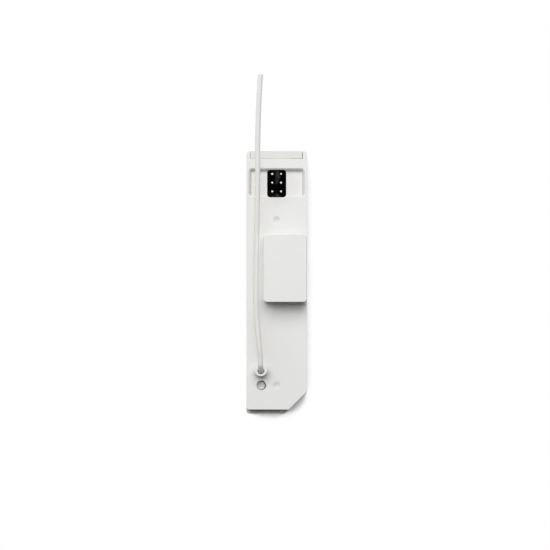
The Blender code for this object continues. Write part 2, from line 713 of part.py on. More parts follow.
def aerial(insulation, copper, tin):
    """Insulated wire, its bare end through the board, and the solder that holds it there."""
    points = aerial_points()
    lengths = [(b - a).length for a, b in zip(points, points[1:])]
    print(f"aerial: {len(points)} points, {sum(lengths) / MM:.1f} mm long")
    part("aerial_wire", wire(points, AERIAL_DIAMETER / 2), insulation)
    core_top = points[0].z - SEAM
    core_low = BOARD_UNDERSIDE - CONTACT_TAIL
    core = pillar((0, 0), AERIAL_CORE_RADIUS, core_low, core_top, 12)
    part("aerial_core", core, copper, BORE_CENTRE)
    hole = AERIAL_CORE_RADIUS + SEAM
    top = BOARD_UNDERSIDE - SEAM
    tip = core_low + CLEARANCE
    cone = [(0, top), (SOLDER_RADIUS, top), (hole + CLEARANCE, tip), (0, tip)]
    joint = part("aerial_solder_joint", turned(cone, steps=16), tin, BORE_CENTRE)
    cut(joint, "core_hole", pillar(BORE_CENTRE, hole, 0, BOARD_TOP, 12))


def switch(dark_plastic, white_plastic, steel, spring_steel):
    """Press switch on the board: base, snap dome, plunger, steel plate and four terminals."""
    half = SWITCH_SIDE / 2
    square = rounded(rectangle(-half, -half, half, half, SWITCH_CORNER), 2)
    base_top = ON_BOARD + SWITCH_HEIGHT
    well_floor = ON_BOARD + WELL_FLOOR
    base = part("switch_base", prism([square], ON_BOARD, base_top), dark_plastic, SWITCH_CENTRE)
    cut(base, "switch_well", pillar(SWITCH_CENTRE, DOME_RADIUS + CLEARANCE, well_floor, base_top + WALL))

    rim = well_floor + SEAM
    arc = [(DOME_RADIUS * i / 6, DOME_RISE * (1 - (i / 6) ** 2)) for i in range(7)]
    upper = [(radius, rim + rise + DOME_THICKNESS) for radius, rise in arc]
    lower = [(radius, rim + rise) for radius, rise in reversed(arc)]
    part("switch_dome", turned(upper + lower, steps=24), spring_steel, SWITCH_CENTRE)

    plate_low = base_top + SEAM
    plate_top = plate_low + PLATE_THICKNESS
    opening = circle(Vector((0, 0)), STEM_RADIUS + CLEARANCE, 24)
    plate = part("switch_plate", prism([square, opening], plate_low, plate_top), steel, SWITCH_CENTRE)
    for side in (-1, 1):
        near, far = sorted((side * (half + SEAM), side * (half + SEAM + PLATE_THICKNESS)))
        reach = sorted((side * (half - PLATE_THICKNESS), far if side > 0 else near))
        ear = box((near, -PLATE_EAR_HALF, well_floor), (far, PLATE_EAR_HALF, plate_top))
        arm = box((reach[0], -PLATE_EAR_HALF, plate_low), (reach[1], PLATE_EAR_HALF, plate_top))
        ear.transform(Matrix.Translation(SWITCH_CENTRE))
        arm.transform(Matrix.Translation(SWITCH_CENTRE))
        add(plate, "plate_arm", arm)
        add(plate, "plate_ear", ear)

    axis = bpy.data.objects.new("learn_button_axis", None)
    axis.location = SWITCH_CENTRE
    MODULE.objects.link(axis)
    nub = rim + DOME_RISE + DOME_THICKNESS + SEAM
    flange_low = nub + CLEARANCE
    flange_top = plate_low - SEAM
    top = CASE_HEIGHT - STEM_RECESS
    dish = [(STEM_RADIUS * 0.8 * i / 4, top - STEM_DISH * (1 - (i / 4) ** 2)) for i in range(5)]
    stem = dish + [(STEM_RADIUS - STEM_EDGE, top), (STEM_RADIUS, top - STEM_EDGE)]
    stem += [(STEM_RADIUS, flange_top), (FLANGE_RADIUS, flange_top), (FLANGE_RADIUS, flange_low)]
    stem += [(NUB_RADIUS + CLEARANCE, flange_low), (NUB_RADIUS, nub), (0, nub)]
    button = part("learn_button", turned(stem), white_plastic)
    button.parent = axis

    thickness = TERMINAL_THICKNESS
    near = half + SEAM
    far = half + TERMINAL_REACH
    rise = ON_BOARD + TERMINAL_RISE
    leg = [(near, ON_BOARD), (far, ON_BOARD), (far, ON_BOARD + thickness)]
    leg += [(near + thickness, ON_BOARD + thickness), (near + thickness, rise), (near, rise)]
    terminal = bar(leg, -TERMINAL_WIDTH / 2, TERMINAL_WIDTH / 2)
    corners = [(turn, shift) for turn in (90, 270) for shift in (-TERMINAL_PLACE, TERMINAL_PLACE)]
    for number, (turn, shift) in enumerate(corners, 1):
        leg_part = part(f"switch_terminal_{number}", terminal, steel, SWITCH_CENTRE + Vector((shift, 0, 0)))
        leg_part.rotation_euler.z = math.radians(turn)


def lead_holes():
    """Where the capacitor leads go down through the board."""
    y = CAN_CENTRE.y - CAN_LENGTH / 2 - LEAD_REACH
    return [Vector((CAN_CENTRE.x + side * LEAD_PITCH / 2, y, 0)) for side in (-1, 1)]


def capacitor(sleeve, rubber, tin):
    """Capacitor on its side: crimped can, rubber bung and two leads bent down to the board."""
    half = CAN_LENGTH / 2
    seat = half - BUNG_THICKNESS
    bent, groove_high, groove_low, straight = (level - half for level in CAN_CRIMP_LEVELS)
    groove = CAN_RADIUS - CAN_CRIMP
    curl = CAN_EDGE / 2
    can = [(0, half), (CAN_RADIUS - CAN_EDGE, half), (CAN_RADIUS, half - CAN_EDGE), (CAN_RADIUS, bent)]
    can += [(groove, groove_high), (groove, groove_low), (CAN_RADIUS, straight), (CAN_RADIUS, curl - half)]
    can += [(CAN_RADIUS - curl, -half), (CAN_MOUTH, -half), (CAN_MOUTH, -seat), (0, -seat)]
    along = Matrix.Rotation(-math.pi / 2, 4, "X")
    shell = turned(can)
    shell.transform(along)
    part("storage_capacitor", shell, sleeve, CAN_CENTRE)

    radius = CAN_MOUTH - SEAM
    inner, outer = -seat - SEAM, CLEARANCE - half
    bung = turned([(0, inner), (radius, inner), (radius, outer), (0, outer)])
    bung.transform(along)
    stopper = part("capacitor_bung", bung, rubber, CAN_CENTRE)

    for number, hole in enumerate(lead_holes(), 1):
        start = Vector((hole.x, CAN_CENTRE.y - seat - 3 * SEAM, CAN_CENTRE.z))
        section = circle(Vector((start.x, start.z)), LEAD_RADIUS + SEAM, 12)
        cut(stopper, "lead_passage", bar(section, CAN_CENTRE.y - half - WALL, start.y + WALL))
        bend = LEAD_BEND
        turns = [math.radians(degrees) for degrees in (0, 22.5, 45, 67.5, 90)]
        corner = Vector((hole.x, hole.y + bend, start.z - bend))
        arc = [corner + bend * Vector((0, -math.sin(turn), math.cos(turn))) for turn in turns]
        end = Vector((hole.x, hole.y, BOARD_UNDERSIDE - CONTACT_TAIL))
        part(f"capacitor_lead_{number}", wire([start, *arc, end], LEAD_RADIUS), tin)


def stepped_chip(length, width, height):
    """Small board part whose two end caps stand a little proud of its body."""
    cap = length / 5
    step = height / 12
    section = [
        (-length / 2, 0),
        (length / 2, 0),
        (length / 2, height),
        (length / 2 - cap, height),
        (length / 2 - cap, height - step),
        (cap - length / 2, height - step),
        (cap - length / 2, height),
        (-length / 2, height),
    ]
    return bar(section, -width / 2, width / 2)


def electronics(epoxy, steel, chip_ceramic):
    """Radio chip, controller with its two rows of leads, crystal, and the small parts."""
    above_board = Vector((0, 0, ON_BOARD))
    half = RADIO_SIDE / 2
    square = rounded(rectangle(-half, -half, half, half, CHIP_STAND), 1)
    radio = part("radio_chip", prism([square], 0, RADIO_HEIGHT), epoxy, RADIO_PLACE + above_board)
    mark = RADIO_PLACE + Vector((-0.65 * half, 0.65 * half, 0))
    mark_low = ON_BOARD + RADIO_HEIGHT - CLEARANCE
    cut(radio, "first_pin_mark", pillar(mark, CRYSTAL_RIM, mark_low, CASE_HEIGHT, 12))

    place = CONTROLLER_PLACE + above_board
    width, length, thick = CONTROLLER_SIZE
    half_x, half_y, top = width / 2, length / 2, CHIP_STAND + thick
    outline = rounded(rectangle(-half_x, -half_y, half_x, half_y, CHIP_STAND), 1)
    body = part("controller_chip", prism([outline], CHIP_STAND, top), epoxy, place)
    lead = CHIP_LEAD_THICKNESS
    under, over = (CHIP_STAND + top - lead) / 2, (CHIP_STAND + top + lead) / 2
    knee, foot = half_x + 2 * lead, half_x + CHIP_LEAD_REACH
    leg = [(half_x - lead, under), (knee, under), (knee + lead, 0), (foot, 0)]
    leg += [(foot, lead), (knee + 2 * lead, lead), (knee + lead, over), (half_x - lead, over)]
    for side in (-1, 1):
        for row in range(CHIP_LEADS_A_SIDE):
            y = (row - (CHIP_LEADS_A_SIDE - 1) / 2) * CHIP_LEAD_PITCH
            mesh = bar(mirrored_section(leg, side), y - CHIP_LEAD_WIDTH / 2, y + CHIP_LEAD_WIDTH / 2)
            mesh.transform(Matrix.Translation(place))
            add(body, "chip_lead", mesh)

    spot = CRYSTAL_PLACE + above_board
    base_x, base_y = CRYSTAL_HALF
    lid_x, lid_y = base_x - CRYSTAL_RIM, base_y - CRYSTAL_RIM
    base = rounded(rectangle(-base_x, -base_y, base_x, base_y, CRYSTAL_RIM), 2)
    lid = rounded(rectangle(-lid_x, -lid_y, lid_x, lid_y, CRYSTAL_RIM), 2)
    crystal = part("crystal", prism([base], 0, CRYSTAL_BASE), steel, spot)
    cap = prism([lid], CRYSTAL_BASE / 2, CRYSTAL_HEIGHT)
    cap.transform(Matrix.Translation(spot))
    add(crystal, "crystal_lid", cap)

    for name, length, width, high, x, y, turn in BOARD_CHIPS:
        mesh = stepped_chip(length * MM, width * MM, high * MM)
        chip = part(name, mesh, chip_ceramic, (x * MM, y * MM, ON_BOARD))
        chip.rotation_euler.z = math.radians(turn)


def radio_module():
    white = finish("white moulded plastic", (0.78, 0.78, 0.77), 0.45)
    button_white = finish("white button plastic", (0.72, 0.72, 0.71), 0.4)
    black = finish("black connector plastic", (0.01, 0.01, 0.011), 0.5)
    insulation = finish("white wire insulation", (0.74, 0.74, 0.73), 0.4)
    laminate = finish("green board laminate", (0.02, 0.13, 0.05), 0.4)
    plating = finish("bright contact plating", (0.85, 0.83, 0.78), 0.25, 1.0)
    copper = finish("tinned copper", (0.72, 0.6, 0.5), 0.3, 1.0)
    tin = finish("solder", (0.7, 0.7, 0.68), 0.35, 1.0)
    steel = finish("pressed steel", (0.62, 0.62, 0.6), 0.35, 1.0)
    spring_steel = finish("spring steel", (0.55, 0.55, 0.55), 0.25, 1.0)
    epoxy = finish("black chip epoxy", (0.02, 0.02, 0.02), 0.6)
    ceramic = finish("chip ceramic", (0.42, 0.33, 0.24), 0.5)
    sleeve = finish("dark capacitor sleeve", (0.03, 0.04, 0.08), 0.35)
    rubber = finish("black rubber", (0.02, 0.02, 0.02), 0.8)

    rear_case(white)
    front_cover(white)
    circuit_board(laminate)
    connector(black, plating)
    aerial(insulation, copper, tin)
    switch(black, button_white, steel, spring_steel)
    capacitor(sleeve, rubber, tin)
    electronics(epoxy, steel, ceramic)


radio_module()
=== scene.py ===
# %% [markdown]
# # A plug-in radio module, dressed in Blender
# A slim white module lies on its back on a white table and is seen from straight above. Its solids
# arrive as a fixed frame. This lesson gives them a camera, light, finishes and finer surfaces, one
# piece at a time, and never moves what the frame holds.

import json
import math

import bmesh
import bpy
from mathutils import Matrix, Vector


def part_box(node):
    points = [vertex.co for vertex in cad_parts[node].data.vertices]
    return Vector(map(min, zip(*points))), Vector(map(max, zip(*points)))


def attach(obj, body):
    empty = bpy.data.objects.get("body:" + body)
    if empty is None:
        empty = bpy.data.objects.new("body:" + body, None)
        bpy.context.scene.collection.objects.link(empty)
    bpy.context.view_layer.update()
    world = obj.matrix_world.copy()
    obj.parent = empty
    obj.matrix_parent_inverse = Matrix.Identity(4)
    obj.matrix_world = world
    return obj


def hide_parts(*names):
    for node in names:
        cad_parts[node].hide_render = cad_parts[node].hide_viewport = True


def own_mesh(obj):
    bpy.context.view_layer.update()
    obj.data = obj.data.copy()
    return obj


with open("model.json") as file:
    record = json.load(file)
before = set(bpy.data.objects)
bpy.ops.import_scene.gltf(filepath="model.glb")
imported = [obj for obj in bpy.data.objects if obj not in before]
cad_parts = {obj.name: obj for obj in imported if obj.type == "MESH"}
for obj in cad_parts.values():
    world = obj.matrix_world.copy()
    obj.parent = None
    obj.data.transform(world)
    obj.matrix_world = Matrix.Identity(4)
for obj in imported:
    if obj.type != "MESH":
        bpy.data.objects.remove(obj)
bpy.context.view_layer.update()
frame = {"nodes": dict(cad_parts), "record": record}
scene = bpy.context.scene
MM = 0.001

# %% [markdown]
# ## Camera
# The photo looks straight down with almost no perspective, so the camera hangs far above the module
# and uses a long lens. The lens could be set by trial; here it follows from the picture's scale, which
# the connector's 2.54 mm grid fixes at 3.46 pixels to the millimetre.

# %% Camera above the module
PICTURE_PIXELS = 550
PIXELS_PER_MM = 3.46
SENSOR = 36
CAMERA_HEIGHT = 1600 * MM
AIM_X = -0.49 * MM
AIM_Y = 2.17 * MM
TONGUE_DROP = 0.05 * MM
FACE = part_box("rear_case")[1].z + TONGUE_DROP


def placed(name, data):
    """A new object that shows the data, linked into the scene."""
    made = bpy.data.objects.new(name, data)
    scene.collection.objects.link(made)
    return made


camera_data = bpy.data.cameras.new("camera")
camera_data.sensor_width = SENSOR
camera_data.lens = SENSOR * CAMERA_HEIGHT / (PICTURE_PIXELS / PIXELS_PER_MM * MM)
camera = placed("camera", camera_data)
camera.location = (AIM_X, AIM_Y, FACE + CAMERA_HEIGHT)
scene.camera = camera
scene.view_settings.view_transform = "Standard"
print(f"lens {camera_data.lens:.0f} mm, {CAMERA_HEIGHT:.2f} m above the face at {FACE / MM:.2f} mm")

# %% [markdown]
# ## Light
# The photo has one broad soft light above and beyond the connector end, a little to the left: shadows
# lie below the block and the boss, and they are wide and soft. A small lamp would cut hard edges and
# a bright dome would wash the shadows out, so a large softbox does the work over a very weak fill.
# It is made of two panels in the same place. The second is told later to shine past the aerial's
# jacket, because the real wire's shadow is faint.

# %% Softbox
PANEL = {"shift": -0.12, "elevation": 56.5, "distance": 0.85, "width": 1.1, "height": 0.8}
KEY_POWER = 2.4
PASSING_POWER = 8.8


def softbox(name, shift, elevation, distance, width, height, power):
    """A lamp panel beyond the connector end, tilted down to the module."""
    data = bpy.data.lights.new(name, "AREA")
    data.shape = "RECTANGLE"
    data.size = width
    data.size_y = height
    data.energy = power
    rise = math.radians(elevation)
    panel = placed(name, data)
    panel.location = (shift, distance * math.cos(rise), distance * math.sin(rise))
    panel.rotation_euler.x = rise - math.pi / 2
    return panel


key = softbox("softbox", power=KEY_POWER, **PANEL)
passing = softbox("softbox through the jacket", power=PASSING_POWER, **PANEL)
print(f"softbox of {key.data.size:.1f} x {key.data.size_y:.1f} m, {key.location.z:.2f} m up")

# %% [markdown]
# The world serves twice. What lights the module is the weak fill; what the camera sees, directly or in
# a mirror, is plain white. A Light Path node tells the two kinds of ray apart. A small helper adds a
# node and wires it in one line, here and in every tree to come.

# %% Fill and white surroundings
FILL = 0.05
WHITE = (1, 1, 1, 1)
world = bpy.data.worlds.new("studio")
scene.world = world
world.use_nodes = True


def add_node(tree, kind, sources=None, **settings):
    """Adds a node. A source is a value, a socket, or a node that stands for its first output."""
    node = tree.nodes.new(kind)
    for title, value in settings.items():
        setattr(node, title, value)
    for title, source in (sources or {}).items():
        if isinstance(source, bpy.types.Node):
            source = source.outputs[0]
        if isinstance(source, bpy.types.NodeSocket):
            tree.links.new(source, node.inputs[title])
        else:
            node.inputs[title].default_value = source
    return node


def seen_or_reflected(tree):
    """A mask that is 1 for what the camera sees directly, in a mirror or through glass."""
    path = add_node(tree, "ShaderNodeLightPath").outputs
    total = path["Is Camera Ray"]
    for other in ("Is Glossy Ray", "Is Transmission Ray"):
        total = add_node(tree, "ShaderNodeMath", {0: total, 1: path[other]}, operation="MAXIMUM")
    return total


def build_world():
    """Weak fill for the light on the module, plain white for what is seen."""
    tree = world.node_tree
    tree.nodes.clear()
    fill = add_node(tree, "ShaderNodeBackground", {"Color": WHITE, "Strength": FILL})
    white = add_node(tree, "ShaderNodeBackground", {"Color": WHITE})
    mix = add_node(tree, "ShaderNodeMixShader", {0: seen_or_reflected(tree), 1: fill, 2: white})
    add_node(tree, "ShaderNodeOutputWorld", {"Surface": mix})


build_world()
print(f"fill of {FILL:.2f}, white where it is seen")

# %% [markdown]
# ## Table
# The module lies on white card that the exposure has burnt out to plain white, with a soft shade left
# along the sides that face away from the light. Real light would need to burn out the module too, so
# the card glows by itself where the camera sees it. An Ambient Occlusion node that leans towards the
# light finds how much of the module stands in the way, and takes that off the glow. The glow lights
# nothing else, so it isn't sampled as a lamp, which would only add grain.

# %% White card
CARD_HALF = 1.5
CARD_DROP = 0.05 * MM
SHADE_REACH = 12 * MM
SHADE_LEAN = (-0.47, 0.68, 0.565)
SHADE_SAMPLES = 32
# how open a place on the card is, and how strongly it then glows
SHADE_LEVELS = {"From Min": 0.34, "To Min": 0.25, "From Max": 0.487, "To Max": 1.0}


def build_card():
    """A large flat square just under the module."""
    mesh = bpy.data.meshes.new("white_card")
    shape = bmesh.new()
    bmesh.ops.create_grid(shape, x_segments=1, y_segments=1, size=CARD_HALF)
    bmesh.ops.translate(shape, verts=shape.verts, vec=(0, 0, -CARD_DROP))
    shape.to_mesh(mesh)
    shape.free()
    return placed("white_card", mesh)


def card_finish():
    """White that glows where it is seen, and less where the module stands near."""
    material = bpy.data.materials.new("burnt-out white card")
    material.use_nodes = True
    material.cycles.emission_sampling = "NONE"
    tree = material.node_tree
    tree.nodes.clear()
    lean = add_node(tree, "ShaderNodeCombineXYZ", dict(enumerate(SHADE_LEAN)))
    aim = {"Normal": lean, "Distance": SHADE_REACH}
    near = add_node(tree, "ShaderNodeAmbientOcclusion", aim, samples=SHADE_SAMPLES)
    shade = add_node(tree, "ShaderNodeMapRange", {"Value": near.outputs["AO"], **SHADE_LEVELS})
    glow = add_node(tree, "ShaderNodeEmission", {"Strength": shade})
    matt = add_node(tree, "ShaderNodeBsdfDiffuse")
    mix = add_node(tree, "ShaderNodeMixShader", {0: seen_or_reflected(tree), 1: matt, 2: glow})
    add_node(tree, "ShaderNodeOutputMaterial", {"Surface": mix})
    return material


card = build_card()
card.data.materials.append(card_finish())
print(f"card of {2 * CARD_HALF:.0f} m, shaded within {SHADE_REACH / MM:.0f} mm of the module")

# %% [markdown]
# ## Effects that several finishes share
# A mould leaves its own skin on every plastic piece: a slow unevenness of tone and the fine grain of
# the spark-eroded steel. It could be copied into each material by hand. A shader node group holds it
# once, and each material places it with its own scales.

# %% Helper for shader groups
VECTOR, FLOAT = "NodeSocketVector", "NodeSocketFloat"


def shader_group(name, inputs, outputs):
    """An empty shader node group with named sockets, and the nodes at its two ends."""
    tree = bpy.data.node_groups.new(name, "ShaderNodeTree")
    for title, kind in inputs:
        tree.interface.new_socket(title, in_out="INPUT", socket_type=kind)
    for title in outputs:
        tree.interface.new_socket(title, in_out="OUTPUT", socket_type=FLOAT)
    return tree, tree.nodes.new("NodeGroupInput"), tree.nodes.new("NodeGroupOutput")


def spread(tree, value, low, high):
    """Stretches the part of a value between two levels over 0 to 1."""
    levels = {"Value": value, "From Min": low, "From Max": high}
    return add_node(tree, "ShaderNodeMapRange", levels).outputs[0]


# %% Moulded skin
NOISE_SPAN = (0.3, 0.7)
SKIN_DETAIL = {"Mottle": 3, "Grain": 2}


def moulded_skin():
    """Two noises: a slow mottle and a fine grain."""
    inputs = [("Place", VECTOR), ("Mottle scale", FLOAT), ("Grain scale", FLOAT)]
    tree, given, result = shader_group("moulded skin", inputs, ["Mottle", "Grain"])
    for title, detail in SKIN_DETAIL.items():
        scale = given.outputs[f"{title} scale"]
        how = {"Vector": given.outputs["Place"], "Scale": scale, "Detail": detail}
        noise = add_node(tree, "ShaderNodeTexNoise", how)
        tree.links.new(spread(tree, noise.outputs["Fac"], *NOISE_SPAN), result.inputs[title])
    return tree


SKIN = moulded_skin()
print(f"{SKIN.name}: {len(SKIN.nodes)} nodes")

# %% [markdown]
# Handling polishes the outer edges of a case, and its inner corners get a painted shade. Both follow
# the shape and not a pattern. A Bevel node bends the normal near edges, so the angle between that and
# the true normal marks them, and Ambient Occlusion finds the corners.

# %% Edges and corners
EDGE_TURN = (1.0, 0.75)
CORNER_OPENNESS = (0.92, 0.4)


def edges_and_corners():
    """Two masks, for outer edges and for inner corners."""
    inputs = [("Edge width", FLOAT), ("Corner reach", FLOAT)]
    tree, given, result = shader_group("edges and corners", inputs, ["Edge", "Corner"])
    bent = add_node(tree, "ShaderNodeBevel", {"Radius": given.outputs["Edge width"]})
    true = add_node(tree, "ShaderNodeNewGeometry").outputs["Normal"]
    same = add_node(tree, "ShaderNodeVectorMath", {0: bent, 1: true}, operation="DOT_PRODUCT")
    tree.links.new(spread(tree, same.outputs["Value"], *EDGE_TURN), result.inputs["Edge"])
    near = add_node(tree, "ShaderNodeAmbientOcclusion", {"Distance": given.outputs["Corner reach"]})
    tree.links.new(spread(tree, near.outputs["AO"], *CORNER_OPENNESS), result.inputs["Corner"])
    return tree


EDGES = edges_and_corners()
print(f"{EDGES.name}: {len(EDGES.nodes)} nodes")

# %% [markdown]
# A few dark specks are moulded into any white plastic, and dust lies on it. A Voronoi texture divides
# space into cells with a random colour each: a speck is the small middle of a cell whose colour falls
# within a chosen share.

# %% Specks
SPECK_SIZE = 0.16


def specks():
    """A mask of small spots, scattered at random."""
    inputs = [("Place", VECTOR), ("Scale", FLOAT), ("Share", FLOAT)]
    tree, given, result = shader_group("specks", inputs, ["Speck"])
    how = {"Vector": given.outputs["Place"], "Scale": given.outputs["Scale"]}
    cells = add_node(tree, "ShaderNodeTexVoronoi", how)
    draw = add_node(tree, "ShaderNodeSeparateColor", {"Color": cells.outputs["Color"]})
    lot = {0: draw.outputs["Red"], 1: given.outputs["Share"]}
    chosen = add_node(tree, "ShaderNodeMath", lot, operation="LESS_THAN")
    core = spread(tree, cells.outputs["Distance"], SPECK_SIZE, SPECK_SIZE / 2)
    both = add_node(tree, "ShaderNodeMath", {0: chosen, 1: core}, operation="MULTIPLY")
    tree.links.new(both.outputs[0], result.inputs["Speck"])
    return tree


SPECKS = specks()
print(f"{SPECKS.name}: {len(SPECKS.nodes)} nodes")

# %% [markdown]
# Drawn wire, extruded insulation and rolled steel all carry fine lines along the way they were pulled.
# Noise that is squeezed along one coordinate turns into such lines. The group expects that coordinate
# as the third one, and each material decides what its pulling direction is.

# %% Drawn lines
ALONG_SHARE = 0.03
LINE_DETAIL = 3


def drawn_lines():
    """Fine lines that run along the third coordinate."""
    inputs = [("Place", VECTOR), ("Scale", FLOAT)]
    tree, given, result = shader_group("drawn lines", inputs, ["Line"])
    sizes = {0: given.outputs["Place"], 1: (1, 1, ALONG_SHARE)}
    squeezed = add_node(tree, "ShaderNodeVectorMath", sizes, operation="MULTIPLY")
    how = {"Vector": squeezed, "Scale": given.outputs["Scale"], "Detail": LINE_DETAIL}
    noise = add_node(tree, "ShaderNodeTexNoise", how)
    tree.links.new(spread(tree, noise.outputs["Fac"], *NOISE_SPAN), result.inputs["Line"])
    return tree


LINES = drawn_lines()
print(f"{LINES.name}: {len(LINES.nodes)} nodes")

# %% [markdown]
# ## Finishes
# Each finish is a Principled shader with the effects above feeding its colour, roughness and relief.
# A small class keeps the parts of a material together while it is being wired. What is the same all
# over a surface is set on the shader itself.

# %% Helper for finishes
class Finish:
    """A material in the making: its nodes, its shader and the place that its patterns read."""

    def __init__(self, name, roughness, metallic=0.0, specular=0.5):
        self.material = bpy.data.materials.new(name)
        self.material.use_nodes = True
        self.tree = self.material.node_tree
        self.shader = self.tree.nodes["Principled BSDF"]
        self.shader.inputs["Roughness"].default_value = roughness
        self.shader.inputs["Metallic"].default_value = metallic
        self.shader.inputs["Specular IOR Level"].default_value = specular
        self.place = self.add("ShaderNodeTexCoord").outputs["Object"]
        self.x, self.y, self.z = self.split(self.place)

    def add(self, kind, sources=None, **settings):
        """Adds a node to this material."""
        return add_node(self.tree, kind, sources, **settings)

    def split(self, vector):
        """The three parts of a place or a direction."""
        return self.add("ShaderNodeSeparateXYZ", {0: vector}).outputs

    def facing(self, axis):
        """How far the surface faces along an axis, from -1 to 1."""
        return self.split(self.add("ShaderNodeNewGeometry").outputs["Normal"])[axis]

    def thrown(self):
        """A mask that is 1 for light on its way from this surface to the next."""
        return self.add("ShaderNodeLightPath").outputs["Is Diffuse Ray"]

    def spread(self, value, low, high):
        """Stretches the part of a value between two levels over 0 to 1."""
        return spread(self.tree, value, low, high)

    def math(self, operation, first, second):
        """Reckons with two values, each a number or a socket."""
        return self.add("ShaderNodeMath", {0: first, 1: second}, operation=operation).outputs[0]

    def overlap(self, *masks):
        """A mask that is set only where all the given ones are."""
        total = masks[0]
        for other in masks[1:]:
            total = self.math("MULTIPLY", total, other)
        return total

    def beside(self, middle, reach):
        """A mask that falls from 1 on a line along the module to 0 at a distance on both sides."""
        away = self.math("SUBTRACT", self.x, middle)
        return self.spread(self.math("ABSOLUTE", away, 0.0), reach, 0.0)

    def effect(self, group, place=None, **values):
        """Places a shared effect, its inputs named with underscores for spaces."""
        sources = {title.replace("_", " "): value for title, value in values.items()}
        if "Place" in group.interface.items_tree:
            sources["Place"] = place or self.place
        return self.add("ShaderNodeGroup", node_tree=group, sources=sources).outputs

    def colour(self, mask, low, high, kind="MIX"):
        """A colour between two others, each a triple or a socket."""
        low, high = ((*end, 1) if isinstance(end, tuple) else end for end in (low, high))
        ends = {"Factor": mask, 6: low, 7: high}
        return self.add("ShaderNodeMix", ends, data_type="RGBA", blend_type=kind).outputs[2]

    def level(self, mask, low, high):
        """A value that runs from one level to another as a mask goes from 0 to 1."""
        levels = {"Value": mask, "To Min": low, "To Max": high}
        return self.add("ShaderNodeMapRange", levels).outputs[0]

    def tinted(self, tone, mask, share, other):
        """A tone that takes on so much of another colour where a mask is set."""
        return self.colour(self.level(mask, 0, share), tone, other)

    def relief(self, height, depth, strength):
        """Lets a value rise from the surface, on top of any relief already there."""
        normal = self.shader.inputs["Normal"]
        sources = {"Height": height, "Distance": depth, "Strength": strength}
        if normal.is_linked:
            sources["Normal"] = normal.links[0].from_socket
        self.tree.links.new(self.add("ShaderNodeBump", sources).outputs[0], normal)

    def feed(self, **sockets):
        """Links values to the shader's inputs, named with underscores for spaces."""
        for title, socket in sockets.items():
            self.tree.links.new(socket, self.shader.inputs[title.replace("_", " ")])


finishes = {}


def keep_finishes(make, rows):
    """Makes a finish for each slot in a table and keeps it under the slot's name."""
    for slot, values in rows.items():
        finishes[slot] = make(*values)
        print(f"{slot}: {finishes[slot].name}, {len(finishes[slot].node_tree.nodes)} nodes")


# %% [markdown]
# ### White moulding
# Cover and tray are moulded in one white plastic with a fine matt skin. Its colour barely varies, so
# most of the look lies in the relief, in the gloss of the edges and in painted shade. Painted shade
# darkens all that lies below the face, the dimples and the inner corners; painted soft shadows lie
# beside and below the aerial, below the connector's end and at the foot of the block; and a painted
# shadow line marks the ledge under the cover's end. It could be painted by hand; masks that follow
# from the place on the module stay sharp at any size.

# %% Where painted shade lies
# painted shade: all that lies below the face is darkened, and the dimples more
RECESS = (FACE - 0.005 * MM, FACE - 0.06 * MM)
RECESS_SHADE_SHARE = 0.45
DIMPLE_TOP = (FACE - 0.03 * MM, FACE - 0.1 * MM)
DIMPLE_BED = (FACE - 0.5 * MM, FACE - 0.3 * MM)
DIMPLE_SHADE_SHARE = 0.85
FACE_FADE = 1 * MM
# painted soft shadows: of the aerial along its length and right of its elbow, of the wire between the
# block and the pocket, below the connector's end, and at the foot of the block
SHADOW_PATCHES = (
    # in mm: middle, reach to both sides, fading at the lower and at the upper end; share of painted
    # shadow
    (-5.6, 7, (-27, -9), (62, 61), 0.48),
    (-1.8, 7.5, (-31, -27), (-6, -11), 0.4),
    (-4.2, 2.8, (11, 14), (25.4, 25.1), 0.4),
    (0.2, 5, (21, 24.6), (25.4, 25.1), 0.85),
    (3.6, 6.4, (-9, -7.2), (-5.9, -6.6), 2.0),
)
COVER_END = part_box("front_cover")[0].y
# painted shadow line on the ledge just under the cover's end, where the cover's edge shades it
SEAM_PATCH = (-3.1, 5.5, (-0.55, -0.3), (0, -0.05))
SEAM_SHADOW_SHARE = 1.6
SEAM_SHADOW_TONE = (0.33, 0.325, 0.31)


def patch(finish, middle, reach, lower, upper, start=0):
    """A mask about a line along the module, with its ends counted from a start."""
    mask = finish.beside(middle * MM, reach * MM)
    for ends in (lower, upper):
        mask = finish.overlap(mask, finish.spread(finish.y, *(start + end * MM for end in ends)))
    return mask


def with_painted_shade(finish, tone, shade_tone):
    """The tone with painted shade below the face and in the dimples, painted shadows in patches, and a
    painted shadow line under the cover's end.
    """
    tone = finish.tinted(tone, finish.spread(finish.z, *RECESS), RECESS_SHADE_SHARE, shade_tone)
    dimple = finish.overlap(*(finish.spread(finish.z, *band) for band in (DIMPLE_TOP, DIMPLE_BED)))
    tone = finish.tinted(tone, dimple, DIMPLE_SHADE_SHARE, shade_tone)
    on_face = finish.spread(finish.z, FACE + FACE_FADE, FACE)
    # painted shadows in patches, on the face and below it
    for *where, share in SHADOW_PATCHES:
        tone = finish.tinted(tone, finish.overlap(patch(finish, *where), on_face), share, shade_tone)
    # a painted shadow line under the cover's end
    return finish.tinted(tone, patch(finish, *SEAM_PATCH, start=COVER_END), SEAM_SHADOW_SHARE, SEAM_SHADOW_TONE)


# the patches are painted shadows, and the line under the cover's end is a painted shadow line
print(f"dust in {len(SHADOW_PATCHES)} patches, dirt under the cover's end at {COVER_END / MM:.1f} mm")

# %% [markdown]
# In the photo the pale tones lie close together, and walls that face away from the light stay dark:
# light thrown back from lit walls hardly shows. A Light Path node therefore gives diffuse rays a
# colour of their own. Faces turned to the light throw little of it on and the others almost all,
# while the camera sees the white of the plastic.

# %% White moulding
THROWN_ON = (0.9, 0.9, 0.89)
THROWN_BACK = (0.25, 0.25, 0.25)
MOTTLE_DIP = 0.985
